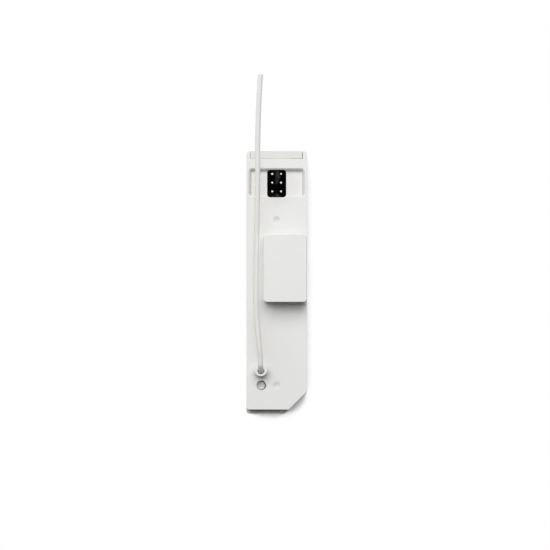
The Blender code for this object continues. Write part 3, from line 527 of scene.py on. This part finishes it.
# share of the painted shade in inner corners
CORNER_SHADE_SHARE = 0.35
SPECK_SHARE = 0.5
SPECK_TONE = (0.3, 0.28, 0.25)
EDGE_POLISH = 0.15


def as_thrown_on(finish, colour):
    """The colour itself for the camera, and another for light on its way to the next face."""
    thrown = finish.colour(finish.level(finish.facing("Y"), 0, 1), THROWN_ON, THROWN_BACK)
    return finish.colour(finish.thrown(), colour, thrown)


def white_moulding(name, white, shade_tone, roughness):
    """White plastic with painted shade and painted shadows, polished at its edges."""
    finish = Finish(name, roughness, specular=0.3)
    skin = finish.effect(SKIN, Mottle_scale=160, Grain_scale=7000)
    shape = finish.effect(EDGES, Edge_width=0.12 * MM, Corner_reach=1.2 * MM)
    speck = finish.effect(SPECKS, Scale=260, Share=0.03)["Speck"]
    tone = finish.colour(skin["Mottle"], white, tuple(MOTTLE_DIP * part for part in white))
    # painted shade in the inner corners, where Ambient Occlusion finds them
    tone = finish.tinted(tone, shape["Corner"], CORNER_SHADE_SHARE, shade_tone)
    # painted shade below the face and in the dimples, and painted shadows on the face and the ledge
    tone = with_painted_shade(finish, tone, shade_tone)
    tone = finish.tinted(tone, speck, SPECK_SHARE, SPECK_TONE)
    finish.feed(Base_Color=as_thrown_on(finish, tone))
    finish.feed(Roughness=finish.level(shape["Edge"], roughness, roughness - EDGE_POLISH))
    finish.relief(skin["Mottle"], depth=0.02 * MM, strength=0.3)
    finish.relief(skin["Grain"], depth=0.006 * MM, strength=0.5)
    return finish.material


WHITES = {
    # name, white, tone of the painted shade, roughness
    "case_plastic": ("white moulding", (0.785, 0.785, 0.773), (0.68, 0.67, 0.65), 0.5),
    # the plunger's white is darker than the case's: a painted shade for the hole that it sits in
    "button_plastic": ("white plunger", (0.67, 0.67, 0.66), (0.5, 0.49, 0.47), 0.4),
}
keep_finishes(white_moulding, WHITES)

# %% [markdown]
# ### Drawn insulation
# The aerial's jacket is thin extruded white plastic with fine lines along the wire. Painted shade
# greys its upper side and, more and more, the stretch towards the boss; at the elbow it stops, and the
# tone there is a plain white.
# The sleeve will carry the place on its own round section as an attribute; with the distance along
# the case as third coordinate that gives the lines their direction.

# %% Drawn insulation
UPWARD = (0.5, 1.0)
BOSS_SHADE_SPAN = (20 * MM, -26 * MM)
ELBOW_SPAN = (-20.5 * MM, -25 * MM)
JACKET_WHITE, JACKET_LINED = (0.85, 0.85, 0.84), (0.835, 0.835, 0.824)
JACKET_MOTTLED, MOTTLE_SHARE = (0.825, 0.823, 0.81), 0.5
JACKET_TOP_SHADE, TOP_SHADE_SHARE = (0.725, 0.724, 0.712), 0.95
JACKET_BOSS_SHADE = (0.87, 0.866, 0.855)
JACKET_ELBOW_WHITE = (0.84, 0.838, 0.825)
JACKET_THROWN = (0.4, 0.4, 0.39)
JACKET_ROUGHNESS = (0.55, 0.68)


def jacket_place(finish):
    """The place on the wire's section, with the distance along the case as third coordinate."""
    section = finish.add("ShaderNodeAttribute", attribute_name="section").outputs["Vector"]
    across = finish.split(section)
    place = {0: across["X"], 1: across["Y"], 2: finish.y}
    return finish.add("ShaderNodeCombineXYZ", place).outputs[0]


def drawn_insulation(name, roughness):
    """White jacket with painted shade on top and towards the boss, and plain at the elbow."""
    finish = Finish(name, roughness, specular=0.12)
    line = finish.effect(LINES, jacket_place(finish), Scale=2600)["Line"]
    skin = finish.effect(SKIN, Mottle_scale=240, Grain_scale=9000)
    tone = finish.colour(line, JACKET_WHITE, JACKET_LINED)
    tone = finish.tinted(tone, skin["Mottle"], MOTTLE_SHARE, JACKET_MOTTLED)
    # painted shade on the upper side, which faces the light
    tone = finish.tinted(tone, finish.spread(finish.facing("Z"), *UPWARD), TOP_SHADE_SHARE, JACKET_TOP_SHADE)
    # painted shade that grows towards the boss
    tone = finish.colour(finish.spread(finish.y, *BOSS_SHADE_SPAN), tone, JACKET_BOSS_SHADE, "MULTIPLY")
    # at the elbow a plain white, without the painted shade
    tone = finish.colour(finish.spread(finish.y, *ELBOW_SPAN), tone, JACKET_ELBOW_WHITE)
    tone = finish.colour(finish.thrown(), tone, JACKET_THROWN)
    finish.feed(Base_Color=tone, Roughness=finish.level(line, *JACKET_ROUGHNESS))
    finish.relief(line, depth=0.004 * MM, strength=0.15)
    finish.relief(skin["Grain"], depth=0.004 * MM, strength=0.4)
    return finish.material


keep_finishes(drawn_insulation, {"aerial_insulation": ("drawn white insulation", 0.6)})

# %% [markdown]
# ### Black plastics
# The connector's body is glass-filled black plastic, the switch base a smoother one. Both are close
# to true black, with grey scuffs. The scuffs are a coarse mottle cut off above a high level, so that
# only a few patches are left, and the socket has more grey patches in a streak along its middle. Chip
# resin and rubber are the same idea in other greys.

# %% Black plastics
SCUFF_LEVELS = (0.62, 1.0)
STREAK_MIDDLE = 0.25 * MM
STREAK_REACH = 0.9 * MM
STREAK_LEVELS = (0.35, 0.75)
EDGE_SHARE = 0.4
SCUFF_POLISH = 0.2


def middle_streak(finish, mottle):
    """Grey patches in a streak along the middle of the socket."""
    return finish.overlap(finish.beside(STREAK_MIDDLE, STREAK_REACH), finish.spread(mottle, *STREAK_LEVELS))


def black_plastic(name, black, scuffed, roughness, mottle, specular=0.05, rub=None):
    """Black plastic or rubber with scuffs, and with a grey streak along its middle if it has one."""
    finish = Finish(name, roughness, specular=specular)
    skin = finish.effect(SKIN, Mottle_scale=mottle, Grain_scale=8000)
    shape = finish.effect(EDGES, Edge_width=0.08 * MM, Corner_reach=0.5 * MM)
    scuff = finish.spread(skin["Mottle"], *SCUFF_LEVELS)
    tone = finish.colour(scuff, black, scuffed)
    if rub:
        tone = finish.colour(middle_streak(finish, skin["Mottle"]), tone, rub)
    tone = finish.tinted(tone, shape["Edge"], EDGE_SHARE, scuffed)
    finish.feed(Base_Color=tone, Roughness=finish.level(scuff, roughness, roughness - SCUFF_POLISH))
    finish.relief(skin["Grain"], depth=0.008 * MM, strength=0.6)
    return finish.material


BLACKS = {
    # name, black, scuffed black, roughness, scale of the mottle; for the socket specular and streak
    # tone
    "connector_plastic": ("black socket", (0.0008,) * 3, (0.008,) * 3, 0.6, 420, 0.005, (0.042,) * 3),
    "switch_plastic": ("black switch base", (0.006,) * 3, (0.03,) * 3, 0.45, 600),
    "chip_epoxy": ("moulded chip resin", (0.015,) * 3, (0.045, 0.045, 0.042), 0.65, 900),
    "seal_rubber": ("bloomed rubber", (0.012,) * 3, (0.06, 0.058, 0.055), 0.8, 700),
}
keep_finishes(black_plastic, BLACKS)

# %% [markdown]
# ### Metals
# Plated contacts, tinned copper, solder and pressed steel differ in colour, in gloss and in how far
# they have dulled. One function takes these as values. The lines run along the length of the module,
# which is how the strip and the wire were pulled.

# %% Metals
QUARTER_TURN = (math.pi / 2, 0, 0)
DULL_SHARE = 0.8
LINE_ROUGHER = 0.2


def metal(name, bright, dull, roughness, scale):
    """Bare metal with drawn lines, dulled in patches."""
    finish = Finish(name, roughness, metallic=1.0)
    turn = finish.add("ShaderNodeMapping", {"Vector": finish.place, "Rotation": QUARTER_TURN})
    line = finish.effect(LINES, turn.outputs[0], Scale=scale)["Line"]
    skin = finish.effect(SKIN, Mottle_scale=1500, Grain_scale=9000)
    tone = finish.tinted(bright, skin["Mottle"], DULL_SHARE, dull)
    finish.feed(Base_Color=tone, Roughness=finish.level(line, roughness, roughness + LINE_ROUGHER))
    finish.relief(line, depth=0.004 * MM, strength=0.5)
    return finish.material


METALS = {
    # name, bright, dulled, roughness, scale of the lines
    "contact_plating": ("bright tin plating", (0.54, 0.53, 0.51), (0.34, 0.33, 0.305), 0.3, 5000),
    "aerial_copper": ("tinned copper strand", (0.78, 0.68, 0.58), (0.55, 0.42, 0.33), 0.3, 5000),
    "solder": ("frosted solder", (0.72, 0.72, 0.7), (0.5, 0.5, 0.49), 0.35, 2500),
    "steel": ("pressed steel", (0.62, 0.62, 0.6), (0.45, 0.45, 0.44), 0.28, 4000),
}
keep_finishes(metal, METALS)

# %% [markdown]
# ### Board, capacitor and chips
# Inside the case sits a green board. Under its solder mask the tracks run in straight lanes, which the
# mortar of a Brick texture imitates, over the faint weave of the glass cloth. Tracks drawn one by one
# would be truer, but they hardly ever show.

# %% Board laminate
LANES = {"Scale": 420, "Mortar Size": 0.05}
WEAVE = {"Scale": 500}
MASK_GREEN, TRACK_GREEN = (0.012, 0.085, 0.03), (0.035, 0.17, 0.06)
SHADED_GREEN, SHADED_SHARE = (0.01, 0.06, 0.025), 0.3
MASK_ROUGHNESS = (0.3, 0.42)


def board_laminate(name, roughness):
    """Green solder mask over lanes of tracks and a faint weave."""
    finish = Finish(name, roughness)
    lanes = finish.add("ShaderNodeTexBrick", {"Vector": finish.place, **LANES}).outputs["Fac"]
    weave = finish.add("ShaderNodeTexWave", {"Vector": finish.place, **WEAVE}).outputs["Fac"]
    skin = finish.effect(SKIN, Mottle_scale=300, Grain_scale=6000)
    tone = finish.colour(lanes, MASK_GREEN, TRACK_GREEN)
    tone = finish.tinted(tone, skin["Mottle"], SHADED_SHARE, SHADED_GREEN)
    finish.feed(Base_Color=tone, Roughness=finish.level(skin["Mottle"], *MASK_ROUGHNESS))
    finish.relief(lanes, depth=0.03 * MM, strength=0.6)
    finish.relief(weave, depth=0.01 * MM, strength=0.3)
    return finish.material


keep_finishes(board_laminate, {"board_laminate": ("green solder mask", 0.35)})

# %% [markdown]
# The capacitor wears a dark blue sleeve of shrunk plastic, and the small chips are fired ceramic with
# coarse grains. Both are a mottle with flecks, so one function makes them from two tones each.

# %% Sleeve and ceramic
CLOUD_SHARE = 0.5
FLECK_SHARE = 0.4
CLOUD_ROUGHER = 0.12


def speckled(name, base, fleck, roughness, scale):
    """A clouded tone with flecks in it."""
    finish = Finish(name, roughness)
    skin = finish.effect(SKIN, Mottle_scale=scale, Grain_scale=7000)
    speck = finish.effect(SPECKS, Scale=4000, Share=0.3)["Speck"]
    tone = finish.tinted(base, skin["Mottle"], CLOUD_SHARE, fleck)
    tone = finish.tinted(tone, speck, FLECK_SHARE, fleck)
    rough = finish.level(skin["Mottle"], roughness, roughness + CLOUD_ROUGHER)
    finish.feed(Base_Color=tone, Roughness=rough)
    finish.relief(skin["Grain"], depth=0.006 * MM, strength=0.5)
    return finish.material


FLECKED = {
    # name, base, fleck, roughness, scale of the mottle
    "capacitor_sleeve": ("shrunk blue sleeve", (0.02, 0.03, 0.075), (0.035, 0.045, 0.1), 0.22, 150),
    "chip_ceramic": ("fired ceramic", (0.42, 0.33, 0.24), (0.3, 0.22, 0.15), 0.4, 1200),
}
keep_finishes(speckled, FLECKED)

# %% [markdown]
# The frame's record says which finish slot each solid has, so one loop hands the finishes out. Only
# the material slots change: the solids keep their shape and place.

# %% Hand out the finishes
for row in frame["record"]["subparts"]:
    solid = frame["nodes"][row["node"]]
    solid.data.materials.clear()
    solid.data.materials.append(finishes[row["material_slot"]])

# %% [markdown]
# ## Aerial
# The aerial is a quarter wave of white insulated wire. It stands up out of its boss, bends over in a
# round elbow and sinks to the face, along which it lies past the connector end. Its way is a list of
# given places, joined by a smooth curve, because straight runs and arcs would look like bent rod.

# %% Way of the aerial
AERIAL_DIAMETER = 1.5 * MM
AERIAL_BORE = Vector((-4.54 * MM, -25.52 * MM, 0))
AERIAL_FOOT = 3.2 * MM
AERIAL_RISE_END = 10.7 * MM
AERIAL_BEND = 3.0 * MM
RISE_SHARES = (0, 0.4, 0.8)
ELBOW_DEGREES = (0, 25, 50, 75)
AERIAL_STEPS = 10
AERIAL_ROUTE = [
    Vector((x * MM, y * MM, z * MM))
    for x, y, z in (
        (-4.83, -20.20, 13.55),
        (-5.14, -17.00, 12.85),
        (-5.50, -13.40, 12.00),
        (-5.80, -9.60, 11.20),
        (-6.00, -5.40, 10.55),
        (-6.03, 0.60, 10.10),
        (-5.92, 6.50, 9.93),
        (-5.81, 13.40, 9.87),
        (-5.66, 20.40, 9.86),
        (-5.54, 27.30, 9.86),
        (-5.48, 34.20, 9.86),
        (-5.47, 41.20, 9.82),
        (-5.38, 46.00, 9.74),
        (-5.19, 51.00, 9.62),
        (-4.95, 56.00, 9.46),
        (-4.68, 60.20, 9.30),
    )
]


def aerial_way():
    """Places that the aerial passes: up its bore, round the elbow, then along the route."""
    foot = AERIAL_BORE + Vector((0, 0, AERIAL_FOOT))
    rise_end = AERIAL_BORE + Vector((0, 0, AERIAL_RISE_END))
    heading = (AERIAL_ROUTE[0] - AERIAL_BORE).xy.normalized()
    places = [foot.lerp(rise_end, share) for share in RISE_SHARES]
    for degrees in ELBOW_DEGREES:
        turn = math.radians(degrees)
        forward = heading * (AERIAL_BEND * (1 - math.cos(turn)))
        places.append(rise_end + Vector((*forward, AERIAL_BEND * math.sin(turn))))
    return [*places, *AERIAL_ROUTE]


def smooth_line(places, steps):
    """Points on a smooth curve through the places, so many steps for each stretch."""
    ends = [2 * places[0] - places[1], *places, 2 * places[-1] - places[-2]]
    line = []
    for a, b, c, d in zip(ends, ends[1:], ends[2:], ends[3:]):
        for step in range(steps):
            t = step / steps
            square = 2 * a - 5 * b + 4 * c - d
            cube = 3 * b - a - 3 * c + d
            line.append((2 * b + (c - a) * t + square * t**2 + cube * t**3) / 2)
    return [*line, places[-1]]


def length_of(line):
    """How long a line of points is."""
    return sum((b - a).length for a, b in zip(line, line[1:]))


aerial_line = smooth_line(aerial_way(), AERIAL_STEPS)
print(f"aerial: {len(aerial_line)} points, {length_of(aerial_line) / MM:.1f} mm")

# %% [markdown]
# A curve with a round bevel would give the tube, but neither the soft shoulder where a cutter has
# nipped its end nor a pattern that follows it. So a small Geometry Nodes tree sweeps a circle along
# the line, scaled by the line's own radius, and keeps the circle's place on the skin as the attribute
# that the finish reads.

# %% Helpers for Geometry Nodes
MATERIAL, WHOLE = "NodeSocketMaterial", "NodeSocketInt"


def poly_curve(name, line, radii):
    """A curve object through the points, with the radius of each."""
    data = bpy.data.curves.new(name, "CURVE")
    data.dimensions = "3D"
    spline = data.splines.new("POLY")
    spline.points.add(len(line) - 1)
    for point, place, radius in zip(spline.points, line, radii):
        point.co = (*place, 1)
        point.radius = radius
    return placed(name, data)


def geometry_tree(name, inputs):
    """An empty Geometry Nodes tree with a geometry socket at each end and named inputs."""
    tree = bpy.data.node_groups.new(name, "GeometryNodeTree")
    tree.interface.new_socket("Geometry", in_out="INPUT", socket_type="NodeSocketGeometry")
    for title, kind in inputs:
        tree.interface.new_socket(title, in_out="INPUT", socket_type=kind)
    tree.interface.new_socket("Geometry", in_out="OUTPUT", socket_type="NodeSocketGeometry")
    return tree, tree.nodes.new("NodeGroupInput")


def swept(tree, curve, profile):
    """A profile swept along a curve with closed ends, scaled by the curve's radius."""
    radius = add_node(tree, "GeometryNodeInputRadius")
    sources = {"Curve": curve, "Profile Curve": profile, "Scale": radius, "Fill Caps": True}
    return add_node(tree, "GeometryNodeCurveToMesh", sources)


def real_and_finished(tree, geometry, material):
    """Ends a tree: instances made real, the material set, and the result put out."""
    real = add_node(tree, "GeometryNodeRealizeInstances", {"Geometry": geometry})
    finish = add_node(tree, "GeometryNodeSetMaterial", {"Geometry": real, "Material": material})
    add_node(tree, "NodeGroupOutput", {"Geometry": finish})


def plain_mesh(holder, tree, values, name):
    """Runs a tree on an object and keeps the result as a new plain mesh object."""
    modifier = holder.modifiers.new(tree.name, "NODES")
    modifier.node_group = tree
    for item in tree.interface.items_tree:
        if item.in_out == "INPUT" and item.name in values:
            modifier[item.identifier] = values[item.name]
    graph = bpy.context.evaluated_depsgraph_get()
    mesh = bpy.data.meshes.new_from_object(holder.evaluated_get(graph))
    mesh.name = name
    bpy.data.objects.remove(holder, do_unlink=True)
    return placed(name, mesh)


# %% Insulation swept along the way
AERIAL_SIDES = 32
CUT_SHARP = math.radians(40)
# distance back from the cut, and the share of the full radius there
CUT_SHOULDER = ((0.16 * MM, 1.0), (0.08 * MM, 0.97), (0.03 * MM, 0.91), (0.0, 0.84))


def sleeve_tree():
    """Circle swept along a curve, with the circle's own place kept on the skin."""
    inputs = [("Radius", FLOAT), ("Sides", WHOLE), ("Material", MATERIAL)]
    tree, given = geometry_tree("sleeve along a way", inputs)
    sizes = {"Radius": given.outputs["Radius"], "Resolution": given.outputs["Sides"]}
    circle = add_node(tree, "GeometryNodeCurvePrimitiveCircle", sizes)
    place = add_node(tree, "GeometryNodeInputPosition")
    kept = {"Geometry": circle, "Name": "section", "Value": place}
    marked = add_node(tree, "GeometryNodeStoreNamedAttribute", kept, data_type="FLOAT_VECTOR")
    real_and_finished(tree, swept(tree, given, marked), given.outputs["Material"])
    return tree


def nipped(line):
    """The line up to its cut end, and a radius for each point that rounds the cut's shoulder."""
    ahead = (line[-1] - line[-2]).normalized()
    shoulder = [line[-1] - ahead * back for back, _ in CUT_SHOULDER]
    radii = [1.0] * (len(line) - 1) + [radius for _, radius in CUT_SHOULDER]
    return [*line[:-1], *shoulder], radii


jacket = finishes["aerial_insulation"]
sleeve = plain_mesh(
    poly_curve("aerial_way", *nipped(aerial_line)),
    sleeve_tree(),
    {"Radius": AERIAL_DIAMETER / 2, "Sides": AERIAL_SIDES, "Material": jacket},
    "aerial_insulation",
)
sleeve.data.shade_smooth()
sleeve.data.set_sharp_from_angle(angle=CUT_SHARP)
print(f"insulation: {len(sleeve.data.polygons)} faces")

# %% [markdown]
# Where the aerial was cut, the ends of its seven tinned strands show in the middle of the jacket. A
# circle of six points and one in the middle carry a short rounded rod each. The bundle is made flat
# and then turned, in its mesh, to the way the wire points.

# %% Strands in the cut
STRAND_RADIUS = 0.1 * MM
STRAND_DEPTH = 0.3 * MM
STRAND_SINK = 0.03 * MM
STRAND_SIDES = 12
STRANDS_AROUND = 6
STRAND_PITCH = 2.02 * STRAND_RADIUS
# height as a share of the depth, and the share of the full radius there
STRAND_SHAPE = ((-1.0, 1.0), (0.0, 1.0), (0.08, 0.9), (0.13, 0.6))


def strand_tree():
    """A rod swept along the given line, repeated on a ring of points and at its middle."""
    inputs = [("Radius", FLOAT), ("Pitch", FLOAT), ("Material", MATERIAL)]
    tree, given = geometry_tree("bundle of strands", inputs)
    sizes = {"Radius": given.outputs["Radius"], "Resolution": STRAND_SIDES}
    rod = swept(tree, given, add_node(tree, "GeometryNodeCurvePrimitiveCircle", sizes))
    around = {"Vertices": STRANDS_AROUND, "Radius": given.outputs["Pitch"]}
    places = add_node(tree, "GeometryNodeJoinGeometry")
    for kind, values in (("GeometryNodeMeshCircle", around), ("GeometryNodePoints", None)):
        tree.links.new(add_node(tree, kind, values).outputs[0], places.inputs[0])
    bundle = add_node(tree, "GeometryNodeInstanceOnPoints", {"Points": places, "Instance": rod})
    real_and_finished(tree, bundle, given.outputs["Material"])
    return tree


strand_line = [Vector((0, 0, STRAND_DEPTH * share)) for share, _ in STRAND_SHAPE]
strands = plain_mesh(
    poly_curve("strand_line", strand_line, [radius for _, radius in STRAND_SHAPE]),
    strand_tree(),
    {"Radius": STRAND_RADIUS, "Pitch": STRAND_PITCH, "Material": finishes["aerial_copper"]},
    "aerial_strands",
)
tip = aerial_line[-1]
ahead = (tip - aerial_line[-2]).normalized()
turned = ahead.to_track_quat("Z", "Y").to_matrix().to_4x4()
strands.data.transform(Matrix.Translation(tip - ahead * STRAND_SINK) @ turned)
strands.data.shade_smooth()
print(f"strands: {len(strands.data.polygons)} faces")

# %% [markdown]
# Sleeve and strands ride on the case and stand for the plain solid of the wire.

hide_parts("aerial_wire")
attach(sleeve, "case")
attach(strands, "case")
print(f"cord of {length_of(aerial_line) / MM:.1f} mm, {AERIAL_DIAMETER / MM:.1f} mm thick")

# %% [markdown]
# In the photo the wire's shadow on the face is faint, as light soaks through and round the thin
# plastic. Real scattering inside the jacket would be slow and grainy. Shadow linking does it at once:
# the jacket is taken off the list of things that block the second panel.

# %% Light that passes the jacket
passed = bpy.data.collections.new("light passes these")
passed.objects.link(sleeve)
passed.collection_objects[0].light_linking.link_state = "EXCLUDE"
passing.light_linking.blocker_collection = passed
print(f"{PASSING_POWER / (PASSING_POWER + KEY_POWER):.0%} of the light passes {sleeve.name}")

# %% [markdown]
# ## Moulded pieces
# The solids of cover, tray, socket and plunger have the right shape, but they come as loose triangles
# with flat shading and knife-sharp edges, which no moulding has. Each gets a finer copy: its triangles
# are welded, flat regions become single faces again, sharp edges get a small bevel, and the round
# stretches are shaded smooth. The cover's two dimples, where the mould was filled, also get rings of
# faces for their soft rims.

# %% Finer copies
WELD = 0.001 * MM
FLAT = math.radians(0.5)
SHARP = math.radians(50)
SMOOTH = math.radians(17)
EDGE_SEGMENTS = 2
DIMPLES = (Vector((0, 18.03 * MM)), Vector((0, -29.68 * MM)))
DIMPLE_RADIUS = 1.22 * MM
DIMPLE_SLACK = 0.01 * MM
DIMPLE_DEPTH = 0.24 * MM
DIMPLE_RINGS = (0.97, 0.6, 0.2)


def dish(shape, middle):
    """Rings for the facets of a dimple: a small round at its rim, then a shallow cone."""
    near = [v for v in shape.verts if (v.co.xy - middle).length < DIMPLE_RADIUS + DIMPLE_SLACK]
    top = max((v.co.z for v in near), default=0)
    rim = [v for v in near if top - v.co.z < WELD]
    bed = [v for v in near if WELD < top - v.co.z < DIMPLE_RADIUS]
    bmesh.ops.delete(shape, geom=bed, context="VERTS")
    rim.sort(key=lambda v: math.atan2(v.co.y - middle.y, v.co.x - middle.x))
    rings = [rim]
    for share in DIMPLE_RINGS:
        level = top - DIMPLE_DEPTH * (1 - share)
        places = [middle.lerp(start.co.xy, share) for start in rim]
        rings.append([shape.verts.new((*place, level)) for place in places])
    for outer, inner in zip(rings, rings[1:]):
        for k in range(len(rim)):
            shape.faces.new((outer[k - 1], outer[k], inner[k], inner[k - 1]))
    shape.faces.new(rings[-1])


def finer_copy(node, name, edge):
    """A welded, bevelled and smoothly shaded copy of a solid."""
    mesh = frame["nodes"][node].data.copy()
    mesh.name = name
    shape = bmesh.new()
    shape.from_mesh(mesh)
    bmesh.ops.remove_doubles(shape, verts=shape.verts, dist=WELD)
    bmesh.ops.dissolve_limit(shape, angle_limit=FLAT, verts=shape.verts, edges=shape.edges)
    for middle in DIMPLES if node == "front_cover" else ():
        dish(shape, middle)
    shape.normal_update()
    for face in shape.faces:
        face.smooth = True
    for line in shape.edges:
        line.smooth = line.calc_face_angle() < SMOOTH
    shape.to_mesh(mesh)
    shape.free()
    made = placed(name, mesh)
    bevel = made.modifiers.new("soft edges", "BEVEL")
    bevel.width = edge
    bevel.segments = EDGE_SEGMENTS
    bevel.limit_method = "ANGLE"
    bevel.angle_limit = SHARP
    even = made.modifiers.new("even shading", "WEIGHTED_NORMAL")
    even.keep_sharp = True
    return made


MOULDINGS = (
    # solid, copy, width of its bevels, body, slot
    ("front_cover", "cover_moulding", 0.04 * MM, "case", "case_plastic"),
    ("rear_case", "tray_moulding", 0.04 * MM, "case", "case_plastic"),
    ("connector_body", "socket_moulding", 0.03 * MM, "case", "connector_plastic"),
    ("learn_button", "plunger_moulding", 0.03 * MM, "button", "button_plastic"),
)
for node, name, edge, body, slot in MOULDINGS:
    piece = finer_copy(node, name, edge)
    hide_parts(node)
    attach(piece, body)
    print(f"{name}: {len(piece.data.polygons)} faces before its bevels")

# %% [markdown]
# ## Dome spring
# Under the plunger lies a thin steel dome, which snaps flat when the button is pressed. A rigid dome
# would be pierced by the plunger. Its copy is finer, like the mouldings, and gets a mesh of its own;
# it keeps its shape here.

# %% Dome with a mesh of its own
DOME_EDGE = 0.01 * MM
dome = finer_copy("switch_dome", "dome_spring", DOME_EDGE)
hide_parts("switch_dome")
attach(dome, "case")
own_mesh(dome)

# %% [markdown]
# ## Contacts
# Six square tinned pins stand in the socket, each a little turned and sunk by a different amount, so
# that every tip catches the light in its own way. They repeat on a grid, which is work for Geometry
# Nodes: a grid of two by three points, a swept square with a blunt point, and a random turn from a
# fixed seed.

# %% Contacts on a grid
CONTACT_COLUMNS, CONTACT_ROWS = 2, 3
CONTACTS = [f"connector_contact_{n + 1}" for n in range(CONTACT_COLUMNS * CONTACT_ROWS)]
CONTACT_SIDE = 0.64 * MM
CONTACT_TURN = math.radians(16)
CONTACT_SINK = 0.12 * MM
CONTACT_SEED = 5
# height as a share of the pin's, and the share of the full side there
PIN_SHAPE = ((0.0, 0.45), (0.03, 1.0), (0.975, 1.0), (0.99, 0.8), (1.0, 0.45))
# the fifth stands at the lower left of the grid, the second at the upper right
contact_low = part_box("connector_contact_5")[0]
contact_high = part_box("connector_contact_2")[1]


def contact_tree():
    """A square pin swept along the given line, repeated on a grid, turned and sunk at random."""
    inputs = [("Side", FLOAT), ("Width", FLOAT), ("Length", FLOAT), ("Turn", VECTOR)]
    inputs += [("Sink", VECTOR), ("Seed", WHOLE), ("Material", MATERIAL)]
    tree, given = geometry_tree("pins on a grid", inputs)
    side = given.outputs["Side"]
    square = add_node(tree, "GeometryNodeCurvePrimitiveQuadrilateral", {"Width": side, "Height": side})
    sizes = {"Size X": given.outputs["Width"], "Size Y": given.outputs["Length"]}
    counts = {"Vertices X": CONTACT_COLUMNS, "Vertices Y": CONTACT_ROWS}
    grid = add_node(tree, "GeometryNodeMeshGrid", {**sizes, **counts})
    draws = {}
    for title, most in (("Turn", given.outputs["Turn"]), ("Sink", (0, 0, 0))):
        back = {0: given.outputs[title], "Scale": -1}
        least = add_node(tree, "ShaderNodeVectorMath", back, operation="SCALE")
        limits = {"Min": least, "Max": most, "Seed": given.outputs["Seed"]}
        draws[title] = add_node(tree, "FunctionNodeRandomValue", limits, data_type="FLOAT_VECTOR")
    sunk = add_node(tree, "GeometryNodeSetPosition", {"Geometry": grid, "Offset": draws["Sink"]})
    pin = swept(tree, given, square)
    sources = {"Points": sunk, "Instance": pin, "Rotation": draws["Turn"]}
    stand = add_node(tree, "GeometryNodeInstanceOnPoints", sources)
    real_and_finished(tree, stand, given.outputs["Material"])
    return tree


pin_height = contact_high.z - contact_low.z
pin_line = [Vector((0, 0, pin_height * (share - 1))) for share, _ in PIN_SHAPE]
contacts = plain_mesh(
    poly_curve("pin_line", pin_line, [radius for _, radius in PIN_SHAPE]),
    contact_tree(),
    {
        "Side": CONTACT_SIDE,
        "Width": contact_high.x - contact_low.x - CONTACT_SIDE,
        "Length": contact_high.y - contact_low.y - CONTACT_SIDE,
        "Turn": (0, 0, CONTACT_TURN),
        "Sink": (0, 0, CONTACT_SINK),
        "Seed": CONTACT_SEED,
        "Material": finishes["contact_plating"],
    },
    "socket_contacts",
)
middle = (contact_low + contact_high) / 2
contacts.data.transform(Matrix.Translation((middle.x, middle.y, contact_high.z)))
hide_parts(*CONTACTS)
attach(contacts, "case")
print(f"contacts: {len(contacts.data.polygons)} faces, up to {contact_high.z / MM:.2f} mm")
